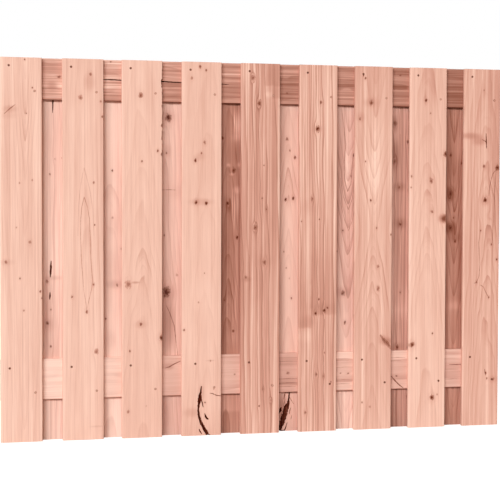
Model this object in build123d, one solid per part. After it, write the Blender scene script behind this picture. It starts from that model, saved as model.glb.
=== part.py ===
from build123d import *
from math import radians, tan
import os

# A wooden fence panel. Upright boards stand on both sides of two level rails, and the rear boards
# cover the gaps between the front ones. X runs along the panel, its front faces -Y, Z is up, and the
# origin lies under the middle of the panel, on the ground. All sizes are in millimetres.

# The panel
PANEL_WIDTH = 1800.0
PANEL_HEIGHT = 1300.0
FRONT_COUNT = 9

# The planed stock
BOARD_WIDTH = 140.0
BOARD_THICKNESS = 16.0
BOARD_EDGE_RADIUS = 2.5
RAIL_HEIGHT = 140.0
RAIL_THICKNESS = 16.0
RAIL_EDGE_RADIUS = 2.5

# The bottom rail's under side above the ground. The top rail is flush with the boards' tops.
BOTTOM_RAIL_LIFT = 140.0

# How far some front boards sit from their even spacing, by board number
FRONT_DRIFT = {2: 1.0, 3: -3.5, 4: -2.5, 6: 3.0, 7: 1.5}

# The countersunk screws, two at each crossing of a board and a rail, set on a diagonal. Each is drawn
# with a few flat sides and no thread, which keeps the many small holes light.
SCREW_SIDES = 6
HEAD_DIAMETER = 6.8
HEAD_HALF_ANGLE = 45.0
HEAD_SINK = 0.6
SHANK_DIAMETER = 3.6
SHANK_CLEARANCE = 0.2
COVER_PAST_SCREW = 1.4
UPPER_SCREW_SIDE_INSET = 30.0
LOWER_SCREW_SIDE_INSET = 24.0
SCREW_RAIL_INSET = 28.0

# One screw was driven further in from the edge, clear of the crack in its board
STRAY_BOARD = 4
STRAY_SHIFT = 18.0

# A crack with bark in it, which curves up from the foot of a front board, measured from the
# middle of the board
CRACK_BOARD = 4
CRACK_HEIGHT = 172.0
CRACK_BEND_HEIGHT = 95.0
CRACK_BEND_OFFSET = -11.5
CRACK_BEND_WIDTH = 6.0
CRACK_FOOT_OFFSET = 24.0
CRACK_FOOT_WIDTH = 10.0
CRACK_DEPTH = 8.0

# A leaf-shaped break in the foot of a rear board, where the wood has come away
BREAK_BOARD = 5
BREAK_HEIGHT = 132.0
BREAK_TIP_OFFSET = 12.0
BREAK_BELLY_HEIGHT = 60.0
BREAK_BELLY_OFFSET = -1.0
BREAK_BELLY_WIDTH = 19.0
BREAK_FOOT_OFFSET = -27.0
BREAK_FOOT_WIDTH = 13.0
BREAK_DEPTH = 10.0

# A drying split along the front of the top rail, measured from the rail's left end and lower edge
SPLIT_START = 310.0
SPLIT_LENGTH = 478.0
SPLIT_START_HEIGHT = 73.0
SPLIT_FALL = 7.0
SPLIT_WIDTH = 3.2
SPLIT_DEPTH = 9.0

# A short check below the top rail in a rear board, measured from the middle of the board and its top
CHECK_BOARD = 1
CHECK_OFFSET = 6.0
CHECK_TOP_DROP = 96.0
CHECK_LENGTH = 86.0
CHECK_WIDTH = 5.2
CHECK_DEPTH = 11.0

# Where the layers lie
RAIL_FACE = RAIL_THICKNESS / 2
BOARD_MIDDLE = RAIL_FACE + BOARD_THICKNESS / 2
BOARD_FACE = RAIL_FACE + BOARD_THICKNESS
PITCH = (PANEL_WIDTH - BOARD_WIDTH) / (FRONT_COUNT - 1)
RAIL_FEET = {"bottom_rail": BOTTOM_RAIL_LIFT, "top_rail": PANEL_HEIGHT - RAIL_HEIGHT}

# The screw's own measures
HEAD_RADIUS = HEAD_DIAMETER / 2
SHANK_RADIUS = SHANK_DIAMETER / 2
HOLE_RADIUS = SHANK_RADIUS + SHANK_CLEARANCE
SCREW_LENGTH = BOARD_THICKNESS - HEAD_SINK + RAIL_THICKNESS - COVER_PAST_SCREW


def front_middle(number):
    """The middle of a front board along the panel, counted from 1 at the left."""
    return -PANEL_WIDTH / 2 + BOARD_WIDTH / 2 + PITCH * (number - 1) + FRONT_DRIFT.get(number, 0.0)


def rear_middle(number):
    """The middle of a rear board, which stands half a pitch further along than the front board."""
    return -PANEL_WIDTH / 2 + BOARD_WIDTH / 2 + PITCH * (number - 0.5)


def plain_board(middle, depth):
    """A planed board with eased long edges, sawn square at both ends."""
    section = RectangleRounded(BOARD_WIDTH, BOARD_THICKNESS, BOARD_EDGE_RADIUS)
    return Pos(middle, depth, 0) * extrude(section, PANEL_HEIGHT)


def plain_rail(foot):
    """A planed rail as long as the panel is wide."""
    section = Plane.YZ * RectangleRounded(RAIL_THICKNESS, RAIL_HEIGHT, RAIL_EDGE_RADIUS)
    return Pos(0, 0, foot + RAIL_HEIGHT / 2) * extrude(section, PANEL_WIDTH / 2, both=True)


def prism(radius, low, high):
    """A many-sided pin about Z between two heights."""
    return Pos(0, 0, low) * extrude(RegularPolygon(radius, SCREW_SIDES, major_radius=False), high - low)


def head_cone(low, end_radius):
    """The countersunk head from its top down to a radius, pointing up, with its top at a height."""
    depth = (HEAD_RADIUS - end_radius) / tan(radians(HEAD_HALF_ANGLE))
    top = RegularPolygon(HEAD_RADIUS, SCREW_SIDES, major_radius=False)
    return Pos(0, 0, low) * extrude(top, depth, taper=HEAD_HALF_ANGLE)


def screw_body():
    """A screw that points up, with the top of its head at zero."""
    head = head_cone(0, SHANK_RADIUS)
    return head + prism(SHANK_RADIUS, head.bounding_box().max.Z, SCREW_LENGTH)


def screw_seat():
    """The hole through a board: a mouth above the sunk head, its cone and a clear hole for the shank."""
    cone = head_cone(HEAD_SINK, HOLE_RADIUS)
    mouth = prism(HEAD_RADIUS, 0, HEAD_SINK)
    return mouth + cone + prism(HOLE_RADIUS, cone.bounding_box().max.Z, BOARD_THICKNESS)


def crossing_points(middle):
    """Where a board's screws go, as (x, z) pairs: at each rail, the upper one and the lower one."""
    points = []
    for foot in RAIL_FEET.values():
        upper = (middle - BOARD_WIDTH / 2 + UPPER_SCREW_SIDE_INSET, foot + RAIL_HEIGHT - SCREW_RAIL_INSET)
        lower = (middle + BOARD_WIDTH / 2 - LOWER_SCREW_SIDE_INSET, foot + SCREW_RAIL_INSET)
        points.extend([upper, lower])
    return points


def front_points(number):
    """A front board's screws, with the stray one moved along the bottom rail."""
    points = crossing_points(front_middle(number))
    if number == STRAY_BOARD:
        x, z = points[0]
        points[0] = (x + STRAY_SHIFT, z)
    return points


def driven(shape, points, face, turn):
    """Copies of a shape that points up, turned into the panel at each (x, z), starting at a face."""
    return [Pos(x, face, z) * Rot(turn, 0, 0) * shape for x, z in points]


def leaf(tip, belly, foot, belly_width, foot_width, depth):
    """A crack between two arcs that leave one tip, to be cut from a front face at y = 0 to a depth."""
    left = ThreePointArc(tip, (belly[0] - belly_width / 2, belly[1]), (foot[0] - foot_width / 2, foot[1]))
    right = ThreePointArc(tip, (belly[0] + belly_width / 2, belly[1]), (foot[0] + foot_width / 2, foot[1]))
    outline = Plane.XZ * make_face([left, Line(left @ 1, right @ 1), right])
    return extrude(outline, -depth)


def split(start, end, width, depth):
    """A straight split, widest halfway between its two ends, to be cut from a front face at y = 0 to a depth."""
    run = Vector(*end) - Vector(*start)
    middle = Vector(*start) + run / 2
    side = Vector(-run.Y, run.X).normalized() * (width / 2)
    outline = Polyline(start, middle + side, end, middle - side, close=True)
    return extrude(Plane.XZ * make_face(outline), -depth)


seat = screw_seat()
screw = screw_body()

# The front layer faces -Y and its screws point to +Y. The rear layer is the other way round.
FRONT_TURN = -90
REAR_TURN = 90

pieces = {}
front_screws = []
rear_screws = []

for number in range(1, FRONT_COUNT + 1):
    places = front_points(number)
    board = plain_board(front_middle(number), -BOARD_MIDDLE)
    board -= driven(seat, places, -BOARD_FACE, FRONT_TURN)
    if number == CRACK_BOARD:
        crack = leaf(
            (0, CRACK_HEIGHT),
            (CRACK_BEND_OFFSET, CRACK_BEND_HEIGHT),
            (CRACK_FOOT_OFFSET, 0),
            CRACK_BEND_WIDTH,
            CRACK_FOOT_WIDTH,
            CRACK_DEPTH,
        )
        board -= Pos(front_middle(number), -BOARD_FACE, 0) * crack
    pieces[f"front_board_{number}"] = board
    front_screws += driven(screw, places, HEAD_SINK - BOARD_FACE, FRONT_TURN)

for number in range(1, FRONT_COUNT):
    places = crossing_points(rear_middle(number))
    board = plain_board(rear_middle(number), BOARD_MIDDLE)
    board -= driven(seat, places, BOARD_FACE, REAR_TURN)
    if number == BREAK_BOARD:
        gap = leaf(
            (BREAK_TIP_OFFSET, BREAK_HEIGHT),
            (BREAK_BELLY_OFFSET, BREAK_BELLY_HEIGHT),
            (BREAK_FOOT_OFFSET, 0),
            BREAK_BELLY_WIDTH,
            BREAK_FOOT_WIDTH,
            BREAK_DEPTH,
        )
        board -= Pos(rear_middle(number), RAIL_FACE, 0) * gap
    if number == CHECK_BOARD:
        high = (CHECK_OFFSET, PANEL_HEIGHT - CHECK_TOP_DROP)
        low = (CHECK_OFFSET, PANEL_HEIGHT - CHECK_TOP_DROP - CHECK_LENGTH)
        board -= Pos(rear_middle(number), RAIL_FACE, 0) * split(low, high, CHECK_WIDTH, CHECK_DEPTH)
    pieces[f"rear_board_{number}"] = board
    rear_screws += driven(screw, places, BOARD_FACE - HEAD_SINK, REAR_TURN)

for name, foot in RAIL_FEET.items():
    rail = plain_rail(foot)
    rail -= [body for body in front_screws + rear_screws if foot < body.center().Z < foot + RAIL_HEIGHT]
    if name == "top_rail":
        start = (SPLIT_START, SPLIT_START_HEIGHT)
        end = (SPLIT_START + SPLIT_LENGTH, SPLIT_START_HEIGHT - SPLIT_FALL)
        rail -= Pos(-PANEL_WIDTH / 2, -RAIL_FACE, foot) * split(start, end, SPLIT_WIDTH, SPLIT_DEPTH)
    pieces[name] = rail

pieces["front_screws"] = Compound(children=front_screws)
pieces["rear_screws"] = Compound(children=rear_screws)

os.makedirs("parts", exist_ok=True)
for name, piece in pieces.items():
    export_step(piece, f"parts/{name}.step")
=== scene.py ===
from collections import namedtuple
from math import cos, pi, radians, sin

import bpy
import numpy as np
from bpy.props import FloatProperty, FloatVectorProperty, IntProperty, PointerProperty
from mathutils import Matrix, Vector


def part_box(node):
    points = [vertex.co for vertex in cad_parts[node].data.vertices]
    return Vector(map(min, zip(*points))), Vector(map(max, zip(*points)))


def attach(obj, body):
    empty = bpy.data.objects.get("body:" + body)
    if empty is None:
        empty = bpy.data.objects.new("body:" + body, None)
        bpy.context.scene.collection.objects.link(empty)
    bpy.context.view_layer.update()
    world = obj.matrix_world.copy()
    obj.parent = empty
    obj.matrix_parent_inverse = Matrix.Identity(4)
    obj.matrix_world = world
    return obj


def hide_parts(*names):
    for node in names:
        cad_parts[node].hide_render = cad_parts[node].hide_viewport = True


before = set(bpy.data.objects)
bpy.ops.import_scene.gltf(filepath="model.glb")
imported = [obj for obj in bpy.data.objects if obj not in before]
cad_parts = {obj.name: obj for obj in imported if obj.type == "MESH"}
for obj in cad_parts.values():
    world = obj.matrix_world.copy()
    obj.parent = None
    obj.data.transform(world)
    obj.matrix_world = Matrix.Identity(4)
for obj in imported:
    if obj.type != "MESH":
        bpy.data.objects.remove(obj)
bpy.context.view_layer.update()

bl_info = {
    "name": "Wooden fence panel",
    "version": (1, 0, 0),
    "blender": (4, 5, 0),
    "location": "View3D > Sidebar > Fence panel",
    "description": "Dresses the fence panel's boards, rails and screws, and sets its stage",
    "category": "Object",
}

BODY = "root"
PALE_SLOT = "pale_softwood"
RED_SLOT = "red_softwood"
MILLI = 0.001

# A knot: its place across and along the board in millimetres from the board's left lower corner,
# its radius, and how dark it is.
Knot = namedtuple("Knot", "across along radius shade")

# A soft patch of deeper or paler wood, of painted shade, or of rings that show more: its middle, its half
# sizes and the depth that it adds.
Patch = namedtuple("Patch", "across along half_width half_length depth")

# A crack: the points that it follows as (across, along, width), its depth, and how dark it is inside, partly
# dirt and partly painted shade of the hollow.
Crack = namedtuple("Crack", "path depth bark")

# A stretch of torn fibres on a board's right edge: where it starts and ends, and how far it bites.
Torn = namedtuple("Torn", "start end bite")

# A block of deeper wood with clear edges: its sides, its foot and head, the depth that it adds, and how far
# it fades at its head.
Block = namedtuple("Block", "left right low high depth fade")

# The way a board was sawn: where the log's heart lies from the board's corner, how it leans across the
# board and how the log tapers, in millimetres and millimetres per metre, the ring spacing, how far the
# rings wander, how strongly rings and streaks show, and where along the board the taper turns round.
Figure = namedtuple(
    "Figure", "heart_across heart_through lean taper spacing wander rings streaks turn", defaults=(0,)
)

# One board or rail: its finish, its depth of colour as (place along, depth) pairs, its figure and its marks.
# Its shows are patches where the rings are clearer. Its saturation is a share of the colours' own.
Timber = namedtuple(
    "Timber", "slot depths figure knots patches cracks torn shows blocks saturation",
    defaults=((), (), (), (), (), 1.0),
)

# A fine line of the grain: its width at both ends and in the middle, its bow and its depth
LINE_ENDS = 0.8
LINE_MIDDLE = 2.2
LINE_BOW = 1.2
LINE_DEPTH = 0.2


def fine_line(across, start, end, bark):
    """A thin darker line along a rail, a little bowed."""
    middle = (across + LINE_BOW, (start + end) / 2, LINE_MIDDLE)
    return Crack(((across, start, LINE_ENDS), middle, (across, end, LINE_ENDS)), LINE_DEPTH, bark)


# The strength of colour of most pale rear boards, as a share of the front boards' own
MUTED = 0.90

# The radii of knots, in millimetres
PIN = 2.2
SMALL = 3.0
MIDDLE = 4.4
LARGE = 6.8
HUGE = 10.0
BURL = 13.0

# How dark a knot is
FAINT = 0.3
SOFT = 0.55
PLAIN = 0.9
DARK = 1.35

FRONT_BOARDS = (
    Timber(
        PALE_SLOT, ((0, 0.085), (400, 0.11), (700, 0.115), (1000, 0.105), (1300, 0.10)),
        Figure(78, 10, 6, -60, 8, 10, 0.04, 0.19),
        (
            Knot(88, 1112, PIN, PLAIN), Knot(99, 678, MIDDLE, SOFT), Knot(83, 1292, PIN, DARK),
            Knot(108, 1199, PIN, PLAIN), Knot(19, 611, MIDDLE, SOFT), Knot(65, 556, PIN, DARK),
            Knot(133, 511, SMALL, PLAIN), Knot(138, 488, PIN, PLAIN), Knot(78, 448, SMALL, SOFT),
            Knot(65, 878, SMALL, FAINT), Knot(107, 888, SMALL, FAINT), Knot(54, 728, SMALL, FAINT),
        ),
        patches=(
            Patch(34, 1126, 20, 11, 0.16), Patch(30, 1105, 26, 10, 0.06), Patch(4, 650, 7, 900, -0.05),
            Patch(20, 611, 22, 9, 0.08),
        ),
        shows=(Patch(85, 1040, 30, 90, 0.08), Patch(66, 820, 18, 60, 0.05)),
        cracks=(Crack(((51, 1141, 1.5), (36, 1129, 3.4), (15, 1110, 1.2)), 0.8, 0.25),),
    ),
    Timber(
        PALE_SLOT, ((0, 0.12), (400, 0.105), (700, 0.11), (1000, 0.13), (1300, 0.145)),
        Figure(78, 150, 2, 6, 7.0, 5, 0.07, 0.13),
        (
            Knot(96, 1248, MIDDLE, SOFT), Knot(61, 1169, LARGE, SOFT), Knot(131, 1157, SMALL, SOFT),
            Knot(106, 881, SMALL, SOFT), Knot(109, 736, PIN, PLAIN), Knot(105, 533, SMALL, PLAIN),
            Knot(32, 491, SMALL, PLAIN), Knot(82, 441, MIDDLE, PLAIN), Knot(115, 303, LARGE, SOFT),
            Knot(136, 1105, SMALL, PLAIN),
        ),
        patches=(
            Patch(93, 1222, 17, 26, 0.12), Patch(114, 45, 20, 3, 0.09), Patch(128, 900, 18, 380, 0.03),
        ),
        shows=(
            Patch(78, 650, 13, 170, 0.05), Patch(78, 1040, 26, 120, 0.10), Patch(115, 560, 26, 300, 0.08),
        ),
        cracks=(
            Crack(
                (
                    (73.5, 831, 2.4), (66, 800, 2.2), (62, 760, 2.0), (61, 700, 2.0), (63, 640, 2.0),
                    (66, 590, 1.8), (72, 510, 1.6), (79, 470, 1.6), (82, 447, 1.4),
                ),
                0.25, 0.16,
            ),
            Crack(
                (
                    (73.5, 831, 2.4), (84, 800, 2.2), (91, 760, 2.0), (94, 700, 2.0), (95, 640, 2.0),
                    (98, 590, 2.0), (102, 545, 2.0), (99, 520, 1.8), (92, 490, 1.6), (86, 465, 1.6),
                    (82, 447, 1.4),
                ),
                0.25, 0.14,
            ),
            Crack(
                ((73.5, 931, 2.0), (67, 900, 1.8), (60, 860, 1.8), (54, 790, 1.6), (52, 700, 1.2)), 0.2,
                0.07,
            ),
            Crack(
                ((73.5, 931, 2.0), (82, 898, 1.8), (93, 855, 1.8), (103, 790, 1.6), (107, 700, 1.2)), 0.2,
                0.07,
            ),
        ),
        torn=(Torn(1050, 1150, 3.0), Torn(640, 690, 2.5)),
    ),
    Timber(
        PALE_SLOT, ((0, 0.14), (400, 0.125), (700, 0.11), (1300, 0.115)),
        Figure(70, 50, -4, 90, 14, 26, 0.03, 0.12),
        (
            Knot(65, 1180, LARGE, PLAIN), Knot(124, 991, SMALL, DARK), Knot(69, 954, SMALL, PLAIN),
            Knot(21, 532, HUGE, SOFT), Knot(65, 393, MIDDLE, PLAIN), Knot(137, 345, LARGE, DARK),
            Knot(27, 301, SMALL, PLAIN), Knot(21, 92, MIDDLE, SOFT), Knot(84, 110, PIN, FAINT),
        ),
        patches=(
            Patch(47, 538, 13, 3.5, 0.26), Patch(95, 1195, 18, 90, 0.04), Patch(65, 393, 20, 12, 0.10),
            Patch(90, 560, 9, 60, 0.05),
        ),
        shows=(Patch(74, 600, 26, 50, 0.14),),
        torn=(Torn(890, 1280, 7.0),),
    ),
    Timber(
        PALE_SLOT, ((0, 0.175), (110, 0.12), (330, 0.10), (650, 0.125), (1000, 0.14), (1300, 0.15)),
        Figure(85, 80, 3, 40, 14, 26, 0.025, 0.11),
        (
            Knot(64, 1283, MIDDLE, PLAIN), Knot(85, 1272, SMALL, PLAIN), Knot(34, 1243, MIDDLE, SOFT),
            Knot(80, 1022, MIDDLE, PLAIN), Knot(69, 984, SMALL, PLAIN), Knot(47, 959, MIDDLE, DARK),
            Knot(50, 814, MIDDLE, DARK), Knot(86, 811, MIDDLE, DARK), Knot(80, 568, PIN, SOFT),
            Knot(59, 466, SMALL, FAINT), Knot(8, 371, SMALL, PLAIN), Knot(102, 261, SMALL, FAINT),
            Knot(83, 116, PIN, DARK), Knot(114, 162, PIN, SOFT),
        ),
        patches=(
            Patch(62, 972, 17, 12, 0.10), Patch(68, 816, 36, 11, 0.13), Patch(75, 1150, 8, 70, 0.05),
            Patch(102, 262, 14, 2.5, 0.12), Patch(36, 82, 26, 14, 0.13), Patch(70, 150, 9, 26, 0.14),
        ),
        cracks=(
            Crack(
                (
                    (70, 172, 2), (67, 150, 6), (65, 142, 10), (64, 127, 13), (60, 107, 7), (58.5, 90, 4.5),
                    (61, 70, 6), (67, 50, 8.5), (75, 32, 9.5), (85, 15, 10.5), (94, 0, 11.5),
                ),
                8.0, 1.0,
            ),
            Crack(((69, 128, 3), (73, 114, 4), (76, 100, 1.5)), 3.0, 0.9),
            Crack(((82, 77, 1.2), (85, 66, 5.5), (89, 60, 6.5), (93, 57, 4)), 5.0, 1.0),
            Crack(((62, 22, 1.5), (66, 14, 4), (71, 6, 2)), 2.5, 0.9),
            Crack(((100, 148, 1), (110, 146, 2.4), (122, 140, 2.4), (138, 137, 2)), 1.6, 0.55),
        ),
    ),
    Timber(
        RED_SLOT, ((0, 0.23), (330, 0.265), (600, 0.345), (900, 0.32), (1300, 0.32)),
        Figure(-90, 60, -5, 16, 12, 22, 0.24, 0.52),
        (
            Knot(42, 1249, LARGE, PLAIN), Knot(65, 1161, LARGE, PLAIN), Knot(82, 944, PIN, PLAIN),
            Knot(76, 829, PIN, DARK), Knot(51, 727, LARGE, PLAIN), Knot(85, 604, LARGE, SOFT),
            Knot(18, 552, MIDDLE, SOFT), Knot(81, 157, SMALL, SOFT), Knot(67, 97, SMALL, PLAIN),
            Knot(110, 116, MIDDLE, FAINT), Knot(112, 169, SMALL, FAINT), Knot(92, 790, SMALL, SOFT),
        ),
        patches=(
            Patch(118, 1256, 28, 40, 0.10), Patch(98, 1192, 12, 10, -0.12), Patch(35, 1260, 32, 30, -0.05),
            Patch(22, 545, 14, 8, 0.16), Patch(108, 700, 16, 80, 0.05), Patch(70, 900, 12, 190, 0.05),
            Patch(120, 1120, 9, 60, 0.05), Patch(88, 610, 26, 20, 0.06),
        ),
        blocks=(Block(86, 150, 1222, 1400, 0.13, 10), Block(112, 150, 1180, 1222, 0.13, 30)),
    ),
    Timber(
        RED_SLOT,
        ((0, 0.25), (330, 0.23), (420, 0.22), (600, 0.25), (700, 0.235), (900, 0.205), (1300, 0.27)),
        Figure(-110, 40, 4, 12, 12, 22, 0.24, 0.50),
        (
            Knot(78, 1168, MIDDLE, PLAIN), Knot(66, 1075, LARGE, DARK), Knot(48, 827, MIDDLE, PLAIN),
            Knot(9, 748, PIN, PLAIN), Knot(75, 755, PIN, PLAIN), Knot(74, 471, SMALL, DARK),
            Knot(94, 431, MIDDLE, DARK), Knot(62, 421, MIDDLE, DARK), Knot(66, 204, MIDDLE, SOFT),
            Knot(92, 196, SMALL, SOFT), Knot(26, 69, MIDDLE, SOFT), Knot(120, 175, PIN, PLAIN),
            Knot(95, 280, SMALL, SOFT), Knot(106, 440, SMALL, PLAIN),
        ),
        patches=(
            Patch(34, 392, 24, 22, 0.12), Patch(84, 440, 40, 18, 0.12), Patch(30, 980, 12, 200, 0.10),
            Patch(66, 1075, 14, 12, 0.12), Patch(40, 800, 30, 26, 0.07), Patch(120, 780, 20, 240, 0.09),
            Patch(20, 340, 24, 20, -0.08), Patch(60, 560, 18, 90, 0.08), Patch(72, 320, 8, 60, 0.10),
        ),
        blocks=(Block(-10, 46, 371, 560, 0.14, 200), Block(46, 150, 416, 560, 0.12, 200)),
    ),
    Timber(
        PALE_SLOT, ((0, 0.18), (380, 0.28), (600, 0.24), (900, 0.145), (1100, 0.22), (1300, 0.31)),
        Figure(66, 14, 6, -170, 20, 26, 0.05, 0.27, 720),
        (
            Knot(37, 1257, SMALL, DARK), Knot(30, 1266, PIN, DARK), Knot(60, 1172, LARGE, PLAIN),
            Knot(17, 1112, MIDDLE, SOFT), Knot(39, 962, PIN, PLAIN), Knot(59, 823, SMALL, DARK),
            Knot(82, 724, SMALL, PLAIN), Knot(88, 586, MIDDLE, SOFT), Knot(89, 507, LARGE, SOFT),
            Knot(31, 98, SMALL, SOFT), Knot(60, 82, MIDDLE, FAINT), Knot(136, 700, SMALL, SOFT),
        ),
        patches=(
            Patch(58, 1172, 26, 14, 0.10), Patch(20, 1120, 16, 16, 0.10), Patch(120, 316, 20, 12, 0.34),
            Patch(106, 330, 12, 10, 0.14), Patch(60, 1030, 10, 60, 0.06), Patch(120, 200, 20, 150, 0.05),
            Patch(70, 1260, 12, 60, 0.06), Patch(88, 445, 10, 50, 0.05),
        ),
        shows=(Patch(66, 960, 40, 150, 0.28), Patch(80, 500, 44, 150, 0.28), Patch(60, 1240, 40, 60, 0.14)),
        cracks=(
            Crack(((99, 338, 5.0), (112, 322, 11.0), (126, 306, 13.0), (139, 292, 11.0)), 0.2, 0.17),
            Crack(((104, 331, 1.4), (119, 314, 3.2), (134, 298, 2.4)), 0.9, 0.34),
        ),
    ),
    Timber(
        PALE_SLOT, ((0, 0.10), (400, 0.135), (600, 0.125), (900, 0.165), (1300, 0.225)),
        Figure(70, 40, -3, 80, 14, 28, 0.05, 0.19),
        (
            Knot(60, 1183, MIDDLE, DARK), Knot(78, 1137, PIN, DARK), Knot(136, 990, LARGE, DARK),
            Knot(82, 895, LARGE, PLAIN), Knot(86, 784, MIDDLE, PLAIN), Knot(133, 757, HUGE, SOFT),
            Knot(7, 909, SMALL, PLAIN), Knot(91, 341, PIN, DARK), Knot(14, 303, LARGE, DARK),
            Knot(90, 108, LARGE, DARK), Knot(111, 118, SMALL, FAINT), Knot(5, 870, SMALL, SOFT),
        ),
        patches=(
            Patch(57, 1195, 4, 26, 0.18), Patch(84, 1240, 26, 60, 0.05), Patch(70, 850, 12, 12, 0.08),
            Patch(130, 758, 15, 13, 0.60), Patch(8, 300, 12, 6, 0.34), Patch(60, 250, 10, 90, 0.05),
        ),
        shows=(Patch(78, 1240, 30, 60, 0.10), Patch(80, 840, 20, 60, 0.06)),
        torn=(Torn(735, 780, 4.0),),
    ),
    Timber(
        RED_SLOT, ((0, 0.20), (400, 0.205), (650, 0.235), (900, 0.205), (1300, 0.27)),
        Figure(96, 50, -9, 50, 11, 34, 0.08, 0.29),
        (
            Knot(76, 1224, SMALL, FAINT), Knot(78, 948, MIDDLE, PLAIN), Knot(131, 944, LARGE, DARK),
            Knot(84, 824, LARGE, DARK), Knot(67, 714, PIN, PLAIN), Knot(110, 663, SMALL, PLAIN),
            Knot(131, 608, SMALL, DARK), Knot(53, 525, SMALL, PLAIN), Knot(101, 469, SMALL, PLAIN),
            Knot(92, 192, SMALL, PLAIN), Knot(96, 172, SMALL, PLAIN), Knot(122, 168, MIDDLE, SOFT),
            Knot(116, 1188, PIN, SOFT), Knot(84, 825, MIDDLE, PLAIN),
        ),
        patches=(
            Patch(126, 1000, 22, 320, 0.22), Patch(128, 300, 14, 260, 0.08), Patch(24, 1058, 36, 10, 0.26),
            Patch(60, 1040, 26, 14, 0.22), Patch(84, 824, 16, 16, 0.12), Patch(76, 1224, 6, 30, 0.10),
            Patch(40, 700, 26, 200, 0.03), Patch(120, 168, 16, 12, 0.10),
        ),
        shows=(Patch(98, 760, 34, 170, 0.22), Patch(98, 420, 30, 120, 0.10)),
        cracks=(
            Crack(((85, 1068, 1.2), (86, 1042, 4.2), (88, 1014, 1.2)), 3.0, 0.8),
            Crack(((70, 1046, 1), (84, 1038, 2.2)), 1.2, 0.4),
            Crack(((88, 206, 1.2), (89, 192, 2.6), (92, 184, 1.2)), 1.2, 0.5),
            Crack(((66, 590, 1.2), (62, 545, 2.2), (52, 524, 2.2), (44, 522, 1.2)), 0.7, 0.25),
            Crack(((68, 515, 1.2), (80, 508, 2.0), (94, 480, 2.0), (101, 469, 1.2)), 0.7, 0.25),
            Crack(((128, 938, 1.2), (112, 920, 2.4), (102, 880, 2.0), (98, 840, 1.2)), 0.6, 0.26),
            Crack(((126, 934, 1.2), (120, 860, 2.4), (118, 760, 2.0), (112, 668, 1.2)), 0.6, 0.22),
            Crack(((66, 712, 1.2), (60, 670, 2.2), (66, 590, 1.6)), 0.6, 0.20),
        ),
    ),
)

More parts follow.
